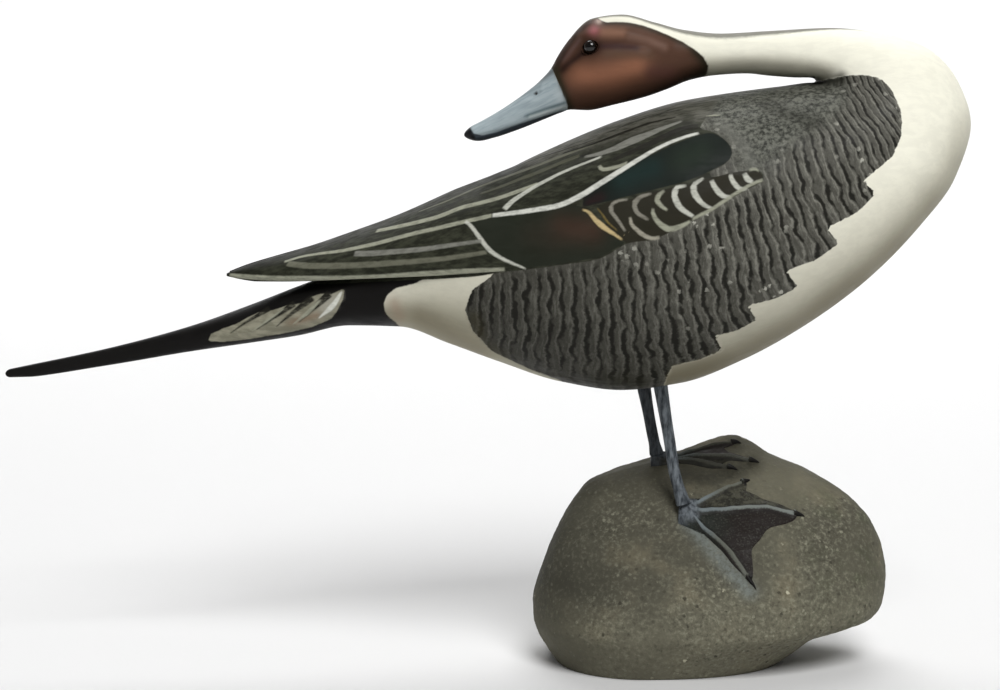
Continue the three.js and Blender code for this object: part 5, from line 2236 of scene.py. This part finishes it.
@dataclass(frozen=True)
class LegPaint:
    """Blue-grey satin paint on wire and webs, with darker webs and black claws."""

    name: str
    brush_marks: bpy.types.NodeTree
    grey: Colour = paint_colour(112, 118, 123)
    grey_dark: Colour = paint_colour(50, 54, 58)
    toe_near: Colour = paint_colour(104, 112, 114)
    toe_far: Colour = paint_colour(92, 94, 86)
    middle_toe: Colour = paint_colour(112, 117, 113)
    web: Colour = paint_colour(36, 39, 35)
    web_brown: Colour = paint_colour(34, 29, 27)
    web_inner: Colour = paint_colour(66, 65, 55)
    web_inner_dark: Colour = paint_colour(42, 41, 35)
    claw: Colour = paint_colour(26, 25, 24)

    def material(self) -> bpy.types.Material:
        """Mix the paint.

        Returns:
            The material.
        """
        made, recipe = new_recipe(self.name)
        place = recipe.place_mm()
        cloud = recipe.cloud(place, 0.7, 4.0, 0.65)
        fine = recipe.cloud(place, 3.0, 3.0, 0.6)
        marks = recipe.group(self.brush_marks, Place=place, Fineness=1.6)
        across, deep, up = recipe.parts(place)
        drawn = recipe.cloud(recipe.vector(across, deep, recipe.times(up, 0.3)), 1.3, 3.0, 0.6)
        colour = recipe.mix(recipe.rise(drawn, 0.3, 0.7), self.grey_dark, self.grey)
        toe_away = recipe.amount("toe_away")
        middle_away = recipe.amount("middle_away")
        out = recipe.amount("out")
        outer = recipe.amount("outer")
        far_out = recipe.rise(recipe.spread(cloud, 4.0, out), 6.0, 12.0)
        brown = recipe.mix(far_out, self.web, self.web_brown)
        inner = recipe.mix(recipe.rise(cloud, 0.42, 0.56), self.web_inner, self.web_inner_dark)
        web = recipe.mix(outer, inner, brown)
        web = recipe.mix(recipe.rise(fine, 0.5, 0.7, 0.0, 0.3), web, self.toe_far)
        ragged = recipe.spread(fine, 0.3, recipe.less(toe_away, 0.15))
        side_toe = recipe.mix(recipe.rise(out, 3.0, 8.0), self.toe_near, self.toe_far)
        middle_toe = recipe.mix(recipe.rise(out, 4.0, 10.0), self.toe_near, self.middle_toe)
        toe = recipe.mix(recipe.rise(middle_away, 0.8, 0.5), side_toe, middle_toe)
        foot_paint = recipe.mix(recipe.rise(ragged, 0.36, 0.16), web, toe)
        dark_edge = recipe.times(recipe.rise(ragged, 0.28, 0.45), recipe.rise(ragged, 0.9, 0.55))
        foot_paint = recipe.mix(recipe.times(dark_edge, 0.4), foot_paint, self.claw)
        near_ankle = recipe.rise(recipe.spread(cloud, 2.0, out), 2.4, 4.2)
        foot = recipe.times(recipe.amount("foot"), near_ankle)
        colour = recipe.mix(foot, colour, foot_paint)
        colour = recipe.mix(recipe.amount("claw"), colour, self.claw)
        roughness = recipe.rise(marks.outputs["Marks"], 0.0, 1.0, 0.42, 0.62)
        Coat(0.3, 0.1).end(recipe, colour, roughness, marks.outputs["Height"])
        return made


@dataclass(frozen=True)
class FloorPaper:
    """The matt pale paper that the studio is lined with."""

    white: Colour = (0.72, 0.72, 0.72)

    def material(self) -> bpy.types.Material:
        """Mix the paper's faint tooth.

        Returns:
            The material.
        """
        made, recipe = new_recipe("floor_paper")
        tooth = recipe.cloud(recipe.place_mm(), 0.8, 3.0)
        shade = recipe.mix(recipe.rise(tooth, 0.3, 0.7, 0.0, 0.03), self.white, (0.7, 0.7, 0.7))
        Coat(0.05, 0.05).end(recipe, shade, 0.9, tooth)
        return made


@dataclass
class Studio:
    """A pale sweep of paper under soft lamps, with sizes in metres."""

    half_width: float = 5.0
    front: float = -6.0
    back: float = 1.4
    bend: float = 0.6
    high: float = 2.4
    gap: float = 0.00005
    bend_steps: int = 16
    air: float = 0.14

    def build(self) -> None:
        """Lay the paper and hang the lamps."""
        sweep = self.paper()
        sweep.data.materials.append(FloorPaper().material())
        lamps = [
            self.lamp("key", (0.31, -1.02, 1.25), (-0.02, 0.0, 0.06), 0.8, 22.5),
            self.lamp("sweep", (0.0, 0.95, 1.3), (0.0, 1.15, 0.0), 1.2, 21.0),
        ]
        world = bpy.data.worlds.new("studio_air")
        bpy.context.scene.world = world
        world.use_nodes = True
        air = world.node_tree.nodes["Background"]
        air.inputs["Color"].default_value = (1.0, 1.0, 1.0, 1.0)
        air.inputs["Strength"].default_value = self.air
        bpy.context.scene.view_settings.view_transform = "Standard"

    def paper(self) -> Piece:
        """Make the floor with its soft rise behind.

        Returns:
            The floor.
        """
        Workbench.clear()
        foot = self.back - self.bend
        rise = [(self.front, 0.0), (foot, 0.0)]
        for step in range(1, self.bend_steps + 1):
            angle = math.pi / 2 * step / self.bend_steps
            rise.append((foot + self.bend * math.sin(angle), self.bend * (1 - math.cos(angle))))
        rise.append((self.back, self.high))
        bpy.ops.mesh.primitive_grid_add(x_subdivisions=1, y_subdivisions=len(rise) - 1, size=1)
        sweep = bpy.context.object
        sweep.name = "floor"
        corners = [(x, y, z - self.gap) for y, z in rise for x in (-self.half_width, self.half_width)]
        sweep.data.vertices.foreach_set("co", np.array(corners, np.float32).reshape(-1))
        sweep.data.update()
        Workbench.take(sweep)
        bpy.ops.object.shade_smooth()
        return sweep

    def lamp(self, name: str, place: Spot, target: Spot, size: float, power: float) -> Piece:
        """Hang a soft square lamp.

        Args:
            name: the lamp's name.
            place: where it hangs, in metres.
            target: the place it looks at.
            size: its side, in metres.
            power: its watts.

        Returns:
            The lamp.
        """
        Workbench.clear()
        bpy.ops.object.light_add(type="AREA", location=place)
        lamp = bpy.context.object
        lamp.name = name
        lamp.data.size = size
        lamp.data.energy = power
        aim = Vector(target) - Vector(place)
        lamp.rotation_euler = aim.to_track_quat("-Z", "Y").to_euler()
        return lamp


def finished(piece: Piece, material: bpy.types.Material | None, node: str) -> None:
    """Dress a piece and put it in the place of its CAD node.

    Args:
        piece: the piece.
        material: its material, or none if it has one.
        node: the node it stands for.
    """
    if material is not None:
        piece.data.materials.clear()
        piece.data.materials.append(material)
    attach(piece, "root")
    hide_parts(node)
    low = [min(v.co[axis] for v in piece.data.vertices) / METRE for axis in range(3)]
    high = [max(v.co[axis] for v in piece.data.vertices) / METRE for axis in range(3)]
    size = " x ".join(f"{b - a:.1f}" for a, b in zip(low, high))
    LOG.info("%s: %s mm, %d faces", piece.name, size, len(piece.data.polygons))


def main() -> None:
    """Build the carving, stand it in the studio and note its size."""
    logging.basicConfig(level=logging.INFO, format="%(message)s", force=True)
    brush_marks = brush_marks_group()
    specks = specks_group()
    rock = Rock()
    finished(rock.build(), RockPaint(brush_marks, specks).material(), "rock_base")
    near_paint = LegPaint("near_leg_paint", brush_marks)
    # The far leg wears darker copies of the same paint: painted shade, since it stands behind the near leg
    # under the bird.
    far_shaded_paint = LegPaint(
        "far_leg_shaded_paint",
        brush_marks,
        grey=paint_colour(74, 78, 82),
        grey_dark=paint_colour(36, 39, 42),
        toe_near=paint_colour(70, 75, 74),
        toe_far=paint_colour(58, 58, 51),
        middle_toe=paint_colour(66, 67, 60),
        web_inner=paint_colour(44, 43, 36),
        web_inner_dark=paint_colour(34, 33, 28),
    )
    right = Leg(
        name="wire_leg_right",
        wire=(
            (-2.05, -4.9, 52.8), (-1.51, -5.0, 49.9), (-0.7, -5.3, 45.0), (0.15, -5.7, 40.0),
            (1.05, -6.2, 34.4), (2.6, -6.9, 28.9),
        ),
        ankle=(2.9, -6.9),
        toes=((13.6, -1.5), (22.4, -6.6), (13.4, -15.3)),
    )
    left = Leg(
        name="wire_leg_left",
        wire=(
            (-4.55, 4.9, 52.8), (-3.66, 4.9, 47.6), (-2.92, 4.8, 43.6), (-2.18, 4.7, 39.7),
            (-1.35, 4.6, 35.8),
        ),
        ankle=(-1.3, 4.6),
        toes=((11.5, 1.5), (15.5, 3.5), (12.7, 7.4)),
    )
    finished(right.build(rock), near_paint.material(), "right_leg_and_foot")
    finished(left.build(rock), far_shaded_paint.material(), "left_leg_and_foot")
    bird = Bird()
    finished(bird.build(), BirdPaint(bird.plumage, brush_marks, specks).material(), "bird")
    finished(Eye(Side.NEAR, bird).build(), None, "left_eye")
    finished(Eye(Side.FAR, bird).build(), None, "right_eye")
    Studio().build()
    VIEW.make_camera()


if __name__ == "__main__":
    main()
